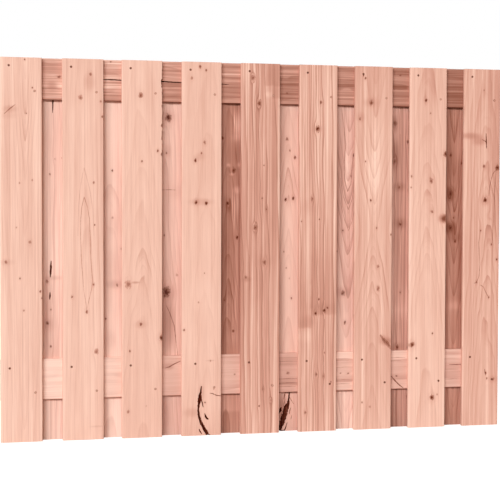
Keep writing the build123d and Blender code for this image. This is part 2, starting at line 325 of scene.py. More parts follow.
REAR_BOARDS = (
    Timber(
        PALE_SLOT,
        ((0, 0.085), (300, 0.115), (480, 0.12), (600, 0.05), (800, 0.08), (1020, 0.125), (1300, 0.12)),
        Figure(150, 70, -3, 9, 10, 22, 0.10, 0.20),
        (
            Knot(56, 543, MIDDLE, PLAIN), Knot(67, 446, SMALL, PLAIN), Knot(55, 400, MIDDLE, PLAIN),
            Knot(67, 320, SMALL, PLAIN), Knot(82, 961, SMALL, FAINT), Knot(107, 963, SMALL, SOFT),
            Knot(65, 908, SMALL, SOFT), Knot(30, 780, MIDDLE, PLAIN), Knot(118, 210, SMALL, PLAIN),
        ),
        patches=(
            Patch(80, 555, 26, 7, 0.12), Patch(62, 395, 20, 22, 0.10), Patch(70, 300, 26, 40, 0.06),
            Patch(56, 430, 12, 130, 0.14),
        ),
        cracks=(
            Crack(((76, 1204, 1.0), (76, 1161, 5.2), (75.5, 1140, 3.6), (75, 1118, 1.0)), 11.0, 1.0),
            Crack(((69, 613, 1.4), (68, 592, 6.0), (67, 575, 6.2), (66, 558, 1.6)), 5.0, 1.0),
            Crack(((65, 506, 1.2), (64, 493, 5.2), (64, 481, 1.2)), 3.0, 0.9),
        ),
        saturation=MUTED,
    ),
    Timber(
        PALE_SLOT, ((0, 0.04), (380, 0.085), (550, 0.14), (800, 0.125), (1020, 0.06), (1300, 0.06)),
        Figure(60, 50, 5, 50, 14, 34, 0.05, 0.17),
        (
            Knot(71, 923, SMALL, DARK), Knot(105, 655, MIDDLE, PLAIN), Knot(88, 528, MIDDLE, SOFT),
            Knot(48, 412, SMALL, PLAIN), Knot(72, 760, MIDDLE, FAINT), Knot(30, 240, SMALL, PLAIN),
        ),
        patches=(
            Patch(82, 531, 30, 13, 0.16), Patch(60, 340, 20, 30, 0.08), Patch(80, 740, 26, 30, 0.05),
            Patch(70, 600, 30, 60, 0.05), Patch(54, 835, 10, 20, 0.06),
        ),
        saturation=MUTED,
    ),
    Timber(
        PALE_SLOT,
        ((0, 0.29), (130, 0.27), (300, 0.22), (550, 0.23), (800, 0.19), (1020, 0.165), (1300, 0.165)),
        Figure(20, 60, 6, 40, 14, 30, 0.08, 0.15),
        (
            Knot(59, 1107, HUGE, DARK), Knot(53, 502, BURL, DARK), Knot(52, 985, SMALL, PLAIN),
            Knot(90, 560, MIDDLE, FAINT), Knot(45, 700, SMALL, SOFT), Knot(110, 250, MIDDLE, PLAIN),
        ),
        patches=(
            Patch(58, 390, 22, 84, 0.40), Patch(58, 990, 10, 22, 0.12), Patch(90, 850, 40, 24, 0.06),
            Patch(56, 1112, 22, 16, 0.12), Patch(56, 500, 24, 24, 0.16), Patch(50, 70, 14, 60, 0.12),
        ),
        cracks=(
            Crack(((52, 455, 1.2), (64, 430, 2.2), (80, 385, 2.2), (93, 279, 1.2)), 0.6, 0.25),
            Crack(((38, 857, 1.0), (60, 858, 2.0), (84, 857, 1.0)), 0.5, 0.22),
        ),
        saturation=MUTED,
    ),
    Timber(
        RED_SLOT,
        (
            (0, 0.65), (71, 0.65), (77, 0.49), (150, 0.56), (360, 0.77), (550, 0.80), (800, 0.85),
            (1020, 0.81), (1300, 0.82),
        ),
        Figure(60, 30, 8, 60, 9, 26, 0.16, 0.48),
        (
            Knot(85, 927, LARGE, PLAIN), Knot(97, 691, MIDDLE, DARK), Knot(84, 361, MIDDLE, PLAIN),
            Knot(63, 811, MIDDLE, PLAIN), Knot(52, 470, SMALL, SOFT), Knot(45, 1040, MIDDLE, PLAIN),
        ),
        patches=(
            Patch(97, 1085, 16, 52, -0.14), Patch(87, 1092, 2.4, 44, -0.50),
            Patch(94, 1080, 2.2, 52, -0.58), Patch(100, 1090, 2.2, 46, -0.50),
            Patch(106, 1076, 2.4, 50, -0.46), Patch(92, 1040, 18, 12, -0.14), Patch(80, 985, 30, 28, 0.08),
            Patch(66, 944, 7, 7, -0.36), Patch(103, 946, 7, 8, -0.32), Patch(77, 913, 8, 5, -0.32),
            Patch(98, 858, 15, 12, -0.26), Patch(80, 812, 2.4, 44, -0.36), Patch(88, 800, 2.2, 52, -0.44),
            Patch(96, 808, 2.2, 48, -0.44), Patch(103, 820, 2.4, 40, -0.36), Patch(60, 815, 14, 20, 0.14),
            Patch(84, 738, 5, 28, -0.22), Patch(92, 640, 3, 60, -0.14), Patch(80, 340, 20, 26, -0.12),
            Patch(56, 620, 16, 120, 0.14), Patch(54, 320, 12, 60, 0.14), Patch(82, 420, 3, 70, -0.16),
            Patch(92, 450, 3, 80, -0.14),
        ),
        shows=(Patch(84, 780, 24, 70, 0.12), Patch(80, 450, 20, 90, 0.2)),
        saturation=0.985,
    ),
    Timber(
        PALE_SLOT,
        (
            (0, 0.32), (60, 0.29), (200, 0.20), (360, 0.185), (550, 0.19), (800, 0.155), (1020, 0.20),
            (1300, 0.22),
        ),
        Figure(78, 10, -3, 130, 15, 20, 0.05, 0.14),
        (
            Knot(70, 1038, MIDDLE, PLAIN), Knot(81, 999, SMALL, SOFT), Knot(100, 974, MIDDLE, PLAIN),
            Knot(66, 825, MIDDLE, DARK), Knot(94, 829, MIDDLE, DARK), Knot(69, 582, SMALL, SOFT),
            Knot(88, 475, SMALL, DARK), Knot(80, 545, SMALL, FAINT), Knot(60, 640, PIN, SOFT),
        ),
        patches=(
            Patch(80, 870, 26, 50, 0.08), Patch(58, 90, 14, 30, 0.30), Patch(48, 60, 18, 26, 0.20),
            Patch(62, 1000, 26, 70, 0.04),
        ),
        shows=(Patch(80, 900, 36, 70, 0.14),),
        cracks=(
            Crack(
                (
                    (84, 147, 4), (81.5, 132, 4.5), (80, 116, 5), (78.6, 102, 8.5), (71, 80, 18),
                    (64, 56, 19.5), (53.5, 27, 17), (46, 4, 13), (43, 0, 13),
                ),
                10.0, 0.86,
            ),
            Crack(((62, 139, 2.0), (76, 138, 4.0), (90, 139, 2.0)), 1.0, 0.7),
            Crack(((67, 138, 3.0), (64, 126, 3.6), (62, 113, 1.4)), 1.2, 0.5),
            Crack(((91, 55, 1.0), (90, 48, 2.0), (88, 41, 1.0)), 0.6, 0.3),
            Crack(((52, 84, 3), (49, 74, 9), (45, 66, 4)), 6.0, 1.0),
            Crack(((66, 112, 1.0), (63, 100, 2.2), (59, 84, 1.2)), 1.6, 0.4),
            Crack(((87, 82, 1.2), (84, 71, 2.8), (82, 60, 1.2)), 1.8, 0.6),
            Crack(((82, 122, 1.2), (90, 108, 2.0), (98, 96, 1.0)), 0.8, 0.36),
            Crack(((30, 3, 3.0), (62, 2, 4.0)), 2.0, 0.7),
            Crack(((74, 30, 1.0), (70, 14, 3.0), (64, 1, 2.4)), 3.0, 0.9),
        ),
        saturation=0.94,
    ),
    Timber(
        PALE_SLOT,
        ((0, 0.17), (350, 0.22), (460, 0.29), (560, 0.28), (800, 0.345), (1020, 0.32), (1300, 0.31)),
        Figure(82, 9, 10, -180, 19, 40, 0.14, 0.30),
        (
            Knot(111, 984, MIDDLE, DARK), Knot(100, 909, SMALL, SOFT), Knot(71, 715, SMALL, DARK),
            Knot(72, 490, LARGE, PLAIN), Knot(80, 384, MIDDLE, DARK), Knot(48, 640, SMALL, SOFT),
        ),
        patches=(
            Patch(70, 495, 26, 16, 0.16), Patch(52, 900, 10, 200, 0.12), Patch(112, 860, 8, 160, 0.08),
            Patch(86, 930, 10, 80, -0.20), Patch(80, 400, 30, 30, -0.04),
        ),
        shows=(Patch(80, 850, 44, 200, 0.08), Patch(80, 560, 40, 90, 0.12)),
        cracks=(
            Crack(
                (
                    (63, 1153, 1.4), (72.5, 1088, 2.2), (80, 1024, 2.4), (74, 952, 2.4), (77, 894, 2.8),
                    (87, 855, 3.2),
                ),
                0.25, 0.18,
            ),
            Crack(((108, 980, 1.4), (102, 923, 2.2), (100, 880, 2.6), (87, 855, 3.2)), 0.25, 0.18),
            Crack(
                ((61, 901, 1.4), (72.5, 836, 2.4), (91, 790, 3.0), (106, 829, 2.4), (113, 887, 1.4)), 0.25,
                0.14,
            ),
            Crack(
                ((59, 822, 1.4), (76, 757, 2.2), (92, 714, 2.8), (106, 750, 2.2), (113, 793, 1.4)), 0.25,
                0.12,
            ),
            Crack(
                ((57, 740, 1.2), (74, 680, 2.0), (90, 640, 2.4), (106, 690, 2.0), (114, 735, 1.2)), 0.2,
                0.06,
            ),
        ),
        saturation=MUTED,
    ),
    Timber(
        RED_SLOT,
        (
            (0, 0.74), (150, 0.66), (380, 0.555), (425, 0.40), (460, 0.48), (560, 0.53), (800, 0.47),
            (1020, 0.52), (1300, 0.48),
        ),
        Figure(-40, 60, 7, 24, 12, 30, 0.24, 0.64),
        (
            Knot(58, 1101, LARGE, SOFT), Knot(58, 965, LARGE, SOFT), Knot(76, 870, MIDDLE, SOFT),
            Knot(80, 736, MIDDLE, PLAIN), Knot(71, 291, MIDDLE, DARK), Knot(112, 289, SMALL, PLAIN),
            Knot(108, 1035, MIDDLE, PLAIN), Knot(82, 490, SMALL, SOFT), Knot(112, 860, SMALL, PLAIN),
            Knot(112, 110, MIDDLE, PLAIN),
        ),
        patches=(
            Patch(58, 985, 16, 46, 0.40), Patch(76, 872, 20, 14, 0.26), Patch(80, 740, 20, 18, 0.28),
            Patch(56, 1100, 14, 26, 0.30), Patch(90, 560, 14, 80, 0.08), Patch(70, 292, 26, 14, 0.20),
        ),
        saturation=0.93,
    ),
    Timber(
        RED_SLOT,
        (
            (0, 0.78), (150, 0.78), (350, 0.90), (400, 0.88), (432, 0.80), (470, 0.90), (560, 0.86),
            (800, 0.73), (1020, 0.84), (1300, 0.76),
        ),
        Figure(82, 10, -4, -130, 13, 26, 0.24, 0.56),
        (
            Knot(65, 989, MIDDLE, PLAIN), Knot(66, 849, LARGE, SOFT), Knot(66, 723, LARGE, SOFT),
            Knot(85, 674, MIDDLE, PLAIN), Knot(108, 959, SMALL, PLAIN), Knot(78, 760, SMALL, PLAIN),
        ),
        patches=(
            Patch(62, 846, 15, 24, 0.62), Patch(64, 724, 19, 20, 0.62), Patch(82, 690, 20, 16, 0.26),
            Patch(66, 940, 20, 60, 0.18), Patch(96, 1020, 10, 50, -0.24), Patch(86, 440, 20, 16, -0.16),
        ),
        saturation=0.985,
    ),
)

TOP_RAIL = Timber(
    RED_SLOT,
    (
        (0, 0.24), (174, 0.24), (260, 0.20), (400, 0.20), (480, 0.26), (589, 0.375), (796, 0.52),
        (1004, 0.62), (1211, 0.62), (1419, 0.84), (1626, 1.12), (1800, 1.14),
    ),
    Figure(60, -300, 3, 8, 7.0, 14, 0.12, 0.78),
    (
        Knot(78, 199, MIDDLE, PLAIN), Knot(112, 1420, SMALL, SOFT), Knot(40, 1000, SMALL, SOFT),
        Knot(134, 375, PIN, PLAIN), Knot(96, 700, SMALL, SOFT), Knot(60, 1560, MIDDLE, SOFT),
    ),
    patches=(
        Patch(47, 176, 14, 16, 0.22), Patch(112, 165, 26, 34, 0.10), Patch(34, 160, 26, 34, 0.12),
        Patch(34, 390, 34, 50, 0.16), Patch(36, 590, 34, 70, 0.16), Patch(40, 800, 34, 60, 0.10),
        # The last patch below darkens the rail's lower edge all along it: painted shade, for the shadow line
        # under the rail.
        Patch(36, 1004, 34, 60, 0.10), Patch(112, 1640, 24, 60, -0.12), Patch(0, 900, 2.6, 4000, 0.60),
    ),
    cracks=(
        Crack(
            (
                (73, 310, 1.0), (72.4, 350, 2.6), (72.8, 382, 3.2), (71.2, 414, 3.0), (70.2, 480, 3.0),
                (70.4, 555, 3.4), (69, 590, 3.4), (68.4, 622, 2.8), (67, 700, 2.6), (66.2, 765, 2.4),
                (66, 788, 0.8),
            ),
            9.0, 1.0,
        ),
    ),
    saturation=0.97,
)

BOTTOM_RAIL = Timber(
    PALE_SLOT,
    (
        (0, 0.02), (174, 0.03), (381, 0.10), (480, 0.22), (589, 0.28), (796, 0.27), (1004, 0.40),
        (1110, 0.31), (1211, 0.19), (1419, 0.25), (1626, 0.27), (1800, 0.27),
    ),
    Figure(76, -120, -3, 10, 13, 16, 0.04, 0.14),
    (
        Knot(62, 1230, SMALL, PLAIN), Knot(70, 812, SMALL, SOFT), Knot(69, 1006, MIDDLE, SOFT),
        Knot(63, 1200, SMALL, SOFT), Knot(96, 300, SMALL, SOFT), Knot(48, 1412, SMALL, PLAIN),
    ),
    patches=(
        Patch(103, 575, 11, 18, 0.22), Patch(96, 195, 4, 22, 0.08), Patch(124, 1630, 6, 40, 0.22),
        Patch(40, 1000, 14, 40, 0.08), Patch(100, 1000, 5, 40, 0.12), Patch(60, 1640, 24, 40, 0.05),
        Patch(108, 1420, 26, 44, -0.08), Patch(118, 1216, 18, 40, -0.07), Patch(26, 1420, 20, 44, 0.06),
        # The last patch below darkens the rail's lower edge all along it: painted shade, for the shadow line
        # under the rail.
        Patch(108, 1640, 26, 44, -0.07), Patch(26, 1640, 22, 44, 0.05), Patch(0, 900, 2.6, 4000, 0.45),
    ),
    cracks=(
        Crack(((98, 564, 1.0), (102, 580, 4.0), (112, 598, 3.0), (121, 618, 1.2)), 0.9, 0.35),
        Crack(((48, 1392, 1.4), (30, 1408, 4.4), (16, 1422, 3.6), (4, 1438, 1.6)), 1.0, 0.5),
        Crack(((85, 1616, 1.0), (84, 1640, 2.4), (84, 1668, 1.6)), 0.9, 0.45),
        fine_line(110, 964, 1044, 0.18), fine_line(48, 968, 1044, 0.20), fine_line(33, 964, 1044, 0.22),
        fine_line(20, 964, 1036, 0.20), fine_line(109, 1174, 1232, 0.18), fine_line(84, 1180, 1248, 0.16),
        fine_line(38, 1174, 1248, 0.20), fine_line(24, 1174, 1236, 0.18), fine_line(113, 1384, 1446, 0.18),
        fine_line(103, 1384, 1430, 0.14), fine_line(66, 1590, 1650, 0.14), fine_line(30, 1600, 1664, 0.14),
    ),
    shows=(Patch(70, 1250, 120, 560, 0.10),),
    saturation=0.92,
)

# Screw places in a board, in millimetres: across from its left edge, and above the ground
UPPER_SCREW_ACROSS = 30.0
LOWER_SCREW_ACROSS = 116.0
UPPER_SCREW_HEIGHTS = (252.0, 1272.0)
LOWER_SCREW_HEIGHTS = (168.0, 1188.0)
STRAY_BOARD = 4
STRAY_SHIFT = 18.0

# How much saw dust fills the lower heads. At the bottom rail the boards past a certain one are nearly clean.
DUSTY = 0.75
NEARLY_CLEAN = 0.15
LAST_DUSTY_BOARD = 5

# The screw, in millimetres or as shares: its recess with lobes, its head, its thread and its point
SCREW_SEGMENTS = 24
LOBES = 6
LOBE_SHARE = 0.16
LOBE_TAPER = 0.9
RECESS_FLOOR_SHARE = 0.35
RECESS_DISH = 0.15
RECESS_TAPER = 0.92
RECESS_BREAK = 0.12
HEAD_BREAK = 0.25
HEAD_EDGE = 0.14
HEAD_DRAFT = 0.05
HEAD_LAND = 0.3
SMOOTH_SHANK = 3.0
SHANK_ROOT = 0.92
THREAD_STEP = 0.55
THREAD_PITCH = 2.2
THREAD_DEPTH = 0.32
THREAD_CREST = 0.28
THREAD_FLAG = -1.0
POINT_LENGTH = 5.0
POINT_CLEAR = 0.3
POINT_LEAST = 0.06
POINT_RADIUS = 0.08

# The grid of a piece's faces, in millimetres, and how often one of its cells may be halved
HALVINGS = 4
FINEST = 2 ** HALVINGS
COLUMN_STEP = 8.0
ROW_STEP = 12.0
LEAST_GAP = 0.3
END_BREAK = 0.6
ARC_STOPS = (0.134, 0.5, 1.0)
SHARP_ANGLE = 42.0

# The slight waves of a sawn face, in millimetres
NOISE_LATTICE = 64
RIPPLE = 0.12
RIPPLE_ACROSS = 35.0
RIPPLE_ALONG = 160.0

# Pits round the screws, in millimetres, and how dark they are, partly dirt and partly painted shade of the
# hollow
PIT_RADIUS = 3.5
PIT_MOUTH = 0.65
PIT_RIM = 0.6
PIT_REACH = 4.6
PIT_MIDDLE = 1.0
PIT_STEP = 0.6
PIT_DIRT_AND_SHADE = 0.45

# Cracks, in millimetres or as shares: their walls and grid, their ragged sides, dark edges (partly painted
# shade) and uneven beds
CRACK_WALL = 1.4
CRACK_FLOOR = 4.0
CRACK_STOP = 2.0
CRACK_PARTS = 6.0
CRACK_FINE = 0.45
CRACK_COARSE = 1.1
CRACK_MARGIN = 0.8
CRACK_RAGGED = 0.28
CRACK_RAGGED_ACROSS = 3.0
CRACK_RAGGED_ALONG = 5.0
CRACK_DARK_REACH = 0.5
CRACK_DARK_FADE = 0.9
CRACK_BED_WAVE = 0.25
CRACK_BED_ACROSS = 4.0
CRACK_BED_ALONG = 9.0

# Torn edges, in millimetres. Each wave has its row in the noise, its length along the edge and its share.
BITE_REACH = 7.0
TORN_STEP = 3.0
TORN_FADE = 20.0
TORN_PALE = 0.07
TORN_WAVES = ((3.5, 11.0, 1.0), (8.5, 4.0, 0.4))

# Patches and blocks of deeper wood, and the painted highlight that pales the long edges
PATCH_REACH = 1.6
PATCH_FADE = 0.8
PATCH_EDGE = 1.5
BLOCK_WAVE = 3.0
BLOCK_WAVE_LENGTH = 14.0
BLOCK_EDGE = 7.0
BLOCK_REACH = 8.0
BLOCK_STEP = 3.0
EDGE_HIGHLIGHT = 0.05
EDGE_HIGHLIGHT_REACH = 3.0

# Seeds: where each group of pieces starts, and what is added for the mesh, its marks and the grain
FRONT_SEED = 0
REAR_SEED = 20
TOP_RAIL_SEED = 41
BOTTOM_RAIL_SEED = 42
SCREW_SEED = 7
MESH_SEED_STEP = 50
CRACK_SEED = 2
TORN_SEED = 30
BLOCK_SEED = 40
GRAIN_SEED_STEP = 7.31

# The kinds of sockets in the shader groups
NUMBER = "NodeSocketFloat"
COLOUR = "NodeSocketColor"

# How knots bend the grain, and their shape. The fades of their parts are in radii of the knot.
KNOT_STRETCH = 2.2
KNOT_FLATNESS = 0.72
KNOT_RAGGED = 1.7
FLOW_REACH = 1.35
FLOW_FLOOR = 0.000004
CORE_FADE = (0.75, 1.12)
EYE_FADE = (0.25, 0.8)
HALO_FADE = (0.3, 3.6)
RIM_PLACE = 0.95
RIM_FADE = (0.0, 0.3)

# The growth rings: how uneven they are, and how the late wood rises and ends within a ring
TURN_ROUNDING = 0.03
UNEVEN_RATE = 0.83
UNEVEN_SHARE = 0.45
LATE_WOOD_RISE = (0.20, 0.93)
LATE_WOOD_END = (0.94, 1.0)
LATE_WOOD_EDGE = 4.0
EARLY_WOOD_SHARE = 0.32

# The rings, and the finer rings between them: how many to a ring, and how strong
FINE_RINGS = ((1.0, 0.8), (3.0, 0.22))

# Each kind of unevenness, with its scales per metre across, through and along, and its fineness
FIBRE_SCALES = (
    ("Fine", (620, 620, 13), 3.0),
    ("Thread", (230, 130, 2.0), 2.0),
    ("Streak", (70, 40, 1.3), 2.5),
    ("Blotch", (16, 16, 5), 2.0),
    ("Wave", (10, 10, 3.4), 3.0),
    ("Jitter", (160, 160, 110), 2.0),
)

# Each input of a piece's figure, with the name of its value and its unit, and those that shape the rings
FIGURE_INPUTS = {
    "Heart across": ("heart_across", MILLI),
    "Heart through": ("heart_through", MILLI),
    "Lean": ("lean", MILLI),
    "Taper": ("taper", MILLI),
    "Turn": ("turn", MILLI),
    "Spacing": ("spacing", MILLI),
    "Wander": ("wander", MILLI),
    "Streaks": ("streaks", 1.0),
}
RING_INPUTS = ("Heart across", "Heart through", "Lean", "Taper", "Turn", "Spacing")

# How clear the rings are: the least, how they differ, how blotches change them, and the mean taken off
RING_LEAST = 0.35
RING_SPREAD = 1.3
RING_BLOTCHES = 2.4
RING_MEAN = 0.2
BAND_SHARE = 0.35

# How much each mark deepens the wood. The deepest is the dark in the cracks and pits, partly dirt and partly
# painted shade of the hollows, which flakes.
STREAK_DEPTH = 1.6
THREAD_LINE_DEPTH = 1.5
FINE_DEPTH = 0.16
BLOTCH_DEPTH = 0.09
CORE_DEPTH = 0.36
EYE_DEPTH = 0.95
RIM_DEPTH = 0.22
HALO_DEPTH = 0.07
DIRT_AND_SHADE_DEPTH = 2.75
DIRT_AND_SHADE_MEAN = 0.86
DIRT_AND_SHADE_THREADS = 1.9
DIRT_AND_SHADE_SPECKS = 0.9
DEEPEST = 3.0

# Each colour of the wood, with the depth at which it shows
WOOD_COLOURS = (
    ("fresh", 0.0), ("planed", 0.09), ("ripe", 0.20), ("red", 0.386), ("late", 0.687), ("heart", 1.217),
    ("knot", 2.0), ("bark", 3.0),
)

# The wood's roughness and the height of its grain, with what each mark adds
WOOD_ROUGHNESS = 0.62
WOOD_SPECULAR = 0.08
FINE_ROUGHNESS = 0.16
CORE_ROUGHNESS = -0.10
DIRT_AND_SHADE_ROUGHNESS = 0.34
LATE_ROUGHNESS = -0.08
GRAIN_BUMP = 0.30
GRAIN_HEIGHT = 0.0006
FINE_HEIGHT = 0.6
LATE_HEIGHT = 0.5
CORE_HEIGHT = 0.5
SPECK_HEIGHT = 0.9

# The screws' coat: its spots, where it is rubbed, how dust lies on it, and how it shines
SPOT_SCALE = 900.0
SPOT_DETAIL = 4.0
COAT_STOP = 0.35
RUBBED_STOP = 0.75
DUST_HEAPS = 0.8
DUST_FADE = (0.2, 0.8)
COAT_ROUGHNESS = (0.3, 0.8, 0.65, 0.42)
COAT_METALLIC = 0.4
COAT_BUMP = 0.2
COAT_HEIGHT = 0.0001

# The stage
WHITE = (1.0, 1.0, 1.0, 1.0)
FLOOR_REACH = 20.0
FLOOR_ROUGHNESS = 0.9
FLOOR_SPECULAR = 0.1
SENSOR_WIDTH = 36.0

# The curve between a screen's colours and linear ones
SCREEN_FULL = 255
SCREEN_BEND = 0.04045
SCREEN_SLOPE = 12.92
SCREEN_OFFSET = 0.055
SCREEN_POWER = 2.4


def lattice_noise(across, along, seed):
    """Smooth noise from -1 to 1, the same each run."""
    lattice = np.random.RandomState(seed).uniform(-1.0, 1.0, (NOISE_LATTICE, NOISE_LATTICE))
    left = np.floor(across).astype(int)
    low = np.floor(along).astype(int)
    part_across = across - left
    part_along = along - low
    ease_across = part_across * part_across * (3 - 2 * part_across)
    ease_along = part_along * part_along * (3 - 2 * part_along)

    def corner(step_across, step_along):
        return lattice[(left + step_across) % NOISE_LATTICE, (low + step_along) % NOISE_LATTICE]

    foot = corner(0, 0) * (1 - ease_across) + corner(1, 0) * ease_across
    head = corner(0, 1) * (1 - ease_across) + corner(1, 1) * ease_across
    return foot * (1 - ease_along) + head * ease_along


def grid_lines(length, step, fixed):
    """Sorted lines from 0 to a length: those that are fixed, and between them others about a step apart."""
    kept = [0.0]
    for line in sorted(fixed):
        if line - kept[-1] > LEAST_GAP:
            kept.append(line)
    lines = [0.0]
    for start, end in zip(kept, kept[1:]):
        count = max(int(round((end - start) / step)), 1)
        lines.extend(np.linspace(start, end, count + 1)[1:])
    return np.array(lines)


def part_count(sizes, step):
    """Into how many parts cells of these sizes are cut, by halving, to be no wider than a step."""
    return 2 ** np.clip(np.ceil(np.log2(sizes / step)), 0, HALVINGS).astype(int)


class Sheet:
    """One wide face of a piece: a plain grid whose cells are cut finer where a mark needs it.

    A point has a key, which counts the points of the finest grid row by row. Where a cell meets a finer one,
    it takes the finer one's points into its own outline, so that the faces always share their edges.
    """

    def __init__(self, across_lines, along_lines):
        self.across_lines = across_lines
        self.along_lines = along_lines
        self.columns = len(across_lines) - 1
        self.rows = len(along_lines) - 1
        self.stride = self.columns * FINEST + 1
        self.parts_across = np.ones((self.rows, self.columns), dtype=int)
        self.parts_along = np.ones((self.rows, self.columns), dtype=int)

    def cut(self, left, right, low, high, step_across, step_along):
        """Cuts the cells that touch a range until they are no wider than the two steps."""
        first, last = np.searchsorted(self.across_lines, (left, right))
        under, over = np.searchsorted(self.along_lines, (low, high))
        columns = slice(max(first - 1, 0), last)
        rows = slice(max(under - 1, 0), over)
        wide = part_count(np.diff(self.across_lines)[columns], step_across)[None, :]
        tall = part_count(np.diff(self.along_lines)[rows], step_along)[:, None]
        self.parts_across[rows, columns] = np.maximum(self.parts_across[rows, columns], wide)
        self.parts_along[rows, columns] = np.maximum(self.parts_along[rows, columns], tall)

    def cut_round(self, across, along, reach, steps):
        """Cuts the cells round a point, as far as a reach across and along it."""
        wide, tall = reach
        self.cut(across - wide, across + wide, along - tall, along + tall, *steps)

    def edge_steps(self):
        """The steps between the points on the level and on the upright edges of the cells."""
        wide = FINEST // self.parts_across
        tall = FINEST // self.parts_along
        fill = {"constant_values": FINEST}
        level = np.minimum(np.pad(wide, ((1, 0), (0, 0)), **fill), np.pad(wide, ((0, 1), (0, 0)), **fill))
        upright = np.minimum(np.pad(tall, ((0, 0), (1, 0)), **fill), np.pad(tall, ((0, 0), (0, 1)), **fill))
        return level.tolist(), upright.tolist()

    def faces(self):
        """Every face as a list of keys that goes round it, left to right first."""
        level, upright = self.edge_steps()
        stride = self.stride
        found = []
        for row in range(self.rows):
            for column in range(self.columns):
                wide = FINEST // int(self.parts_across[row, column])
                tall = FINEST // int(self.parts_along[row, column])
                for up in range(0, FINEST, tall):
                    foot_step = level[row][column] if up == 0 else wide
                    head_step = level[row + 1][column] if up + tall == FINEST else wide
                    for over in range(0, FINEST, wide):
                        left_step = upright[row][column] if over == 0 else tall
                        right_step = upright[row][column + 1] if over + wide == FINEST else tall
                        foot_left = (row * FINEST + up) * stride + column * FINEST + over
                        foot_right = foot_left + wide
                        head_left = foot_left + tall * stride
                        head_right = head_left + wide
                        face = list(range(foot_left, foot_right, foot_step))
                        face += range(foot_right, head_right, right_step * stride)
                        face += range(head_right, head_left, -head_step)
                        face += range(head_left, foot_left, -left_step * stride)
                        found.append(face)
        return found

    def borders(self):
        """The keys along the outline, cell by cell, by side. Each runs upwards or left to right."""
        level, upright = self.edge_steps()
        up = FINEST * self.stride
        found = {"left": [], "right": [], "foot": [], "head": []}
        for row in range(self.rows):
            for side, column in (("left", 0), ("right", self.columns)):
                start = row * up + column * FINEST
                found[side].append(list(range(start, start + up + 1, upright[row][column] * self.stride)))
        for column in range(self.columns):
            for side, row in (("foot", 0), ("head", self.rows)):
                start = row * up + column * FINEST
                found[side].append(list(range(start, start + FINEST + 1, level[row][column])))
        return found

    def places(self, keys):
        """Where the points with these keys lie across and along."""
        across = np.interp(keys % self.stride / FINEST, np.arange(self.columns + 1), self.across_lines)
        along = np.interp(keys // self.stride / FINEST, np.arange(self.rows + 1), self.along_lines)
        return across, along


def crack_stops(crack):
    """Places along a crack, a short way apart, as (across, along, half width)."""
    stops = []
    for start, end in zip(np.array(crack.path), np.array(crack.path[1:])):
        count = int(np.hypot(*(end - start)[:2]) / CRACK_STOP) + 2
        stops += [start + (end - start) * share for share in np.linspace(0, 1, count)]
    return [(across, along, width / 2) for across, along, width in stops]


def marked_sheets(width, length, radius, marks, pits, pits_behind):
    """The front and rear sheets of a piece, cut finer at its marks."""
    arc = [radius * stop for stop in ARC_STOPS]
    sides = arc + [width - stop for stop in arc] + [width]
    ends = [END_BREAK, length - END_BREAK, length]
    for across, along in pits:
        sides += [across - PIT_REACH, across + PIT_REACH]
        ends += [along - PIT_REACH, along + PIT_REACH]
    lines = (grid_lines(width, COLUMN_STEP, sides), grid_lines(length, ROW_STEP, ends))
    front = Sheet(*lines)
    rear = Sheet(*lines)
    for across, along in pits:
        pitted = rear if pits_behind else front
        pitted.cut_round(across, along, (PIT_MIDDLE, PIT_MIDDLE), (PIT_STEP, PIT_STEP))
    for crack in marks.cracks:
        widest = max(spread for across, along, spread in crack.path)
        step = min(max(widest / CRACK_PARTS, CRACK_FINE), CRACK_COARSE)
        for across, along, half in crack_stops(crack):
            reach = half * (1 + CRACK_RAGGED) + CRACK_MARGIN
            front.cut_round(across, along, (reach, reach), (step, step))
    for stretch in marks.torn:
        for sheet in (front, rear):
            sheet.cut(width - BITE_REACH, width, stretch.start, stretch.end, TORN_STEP, TORN_STEP)
    for patch in marks.patches + marks.shows:
        reach = (PATCH_REACH * patch.half_width, PATCH_REACH * patch.half_length)
        front.cut_round(patch.across, patch.along, reach, (patch.half_width / 2, patch.half_length / 2))
    for block in marks.blocks:
        low = block.low - BLOCK_REACH
        front.cut(block.left, block.right, low, block.low + BLOCK_REACH, BLOCK_STEP, BLOCK_STEP)
        for side in (block.left, block.right):
            front.cut(side - BLOCK_REACH, side + BLOCK_REACH, low, block.high, BLOCK_STEP, BLOCK_STEP)
    return front, rear


def crack_cut(across, along, crack, seed):
    """How deep a crack cuts and how dark it is at each point, as two arrays."""
    cut = np.zeros_like(across)
    dark = np.zeros_like(across)
    ragged = lattice_noise(across / CRACK_RAGGED_ACROSS, along / CRACK_RAGGED_ALONG, seed)
    ragged = 1 + CRACK_RAGGED * ragged
    for (across_a, along_a, width_a), (across_b, along_b, width_b) in zip(crack.path, crack.path[1:]):
        run_across = across_b - across_a
        run_along = along_b - along_a
        share = (across - across_a) * run_across + (along - along_a) * run_along
        share = np.clip(share / (run_across ** 2 + run_along ** 2), 0, 1)
        gap = np.hypot(across - across_a - share * run_across, along - along_a - share * run_along)
        half = (width_a + (width_b - width_a) * share) / 2 * ragged
        wall = np.minimum(half, CRACK_WALL)
        cut = np.maximum(cut, np.clip((half - gap) / wall, 0, 1))
        # The dark reaches a little past the walls: partly dirt, partly painted shade of the crack.
        dark = np.maximum(dark, np.clip((half + CRACK_DARK_REACH - gap) / CRACK_DARK_FADE, 0, 1))
    bed = np.abs(lattice_noise(across / CRACK_BED_ACROSS, along / CRACK_BED_ALONG, seed + 1))
    return cut * (1 - CRACK_BED_WAVE * bed) * crack.depth, dark * crack.bark


def pit_cut(across, along, pits):
    """The countersunk pits of the screws, as depths."""
    cut = np.zeros_like(across)
    for pit_across, pit_along in pits:
        radius = np.hypot(across - pit_across, along - pit_along)
        cone = PIT_MOUTH + np.maximum(PIT_RADIUS - radius, 0)
        cut = np.maximum(cut, cone * np.clip((PIT_RADIUS + PIT_RIM - radius) / PIT_RIM, 0, 1))
    return cut


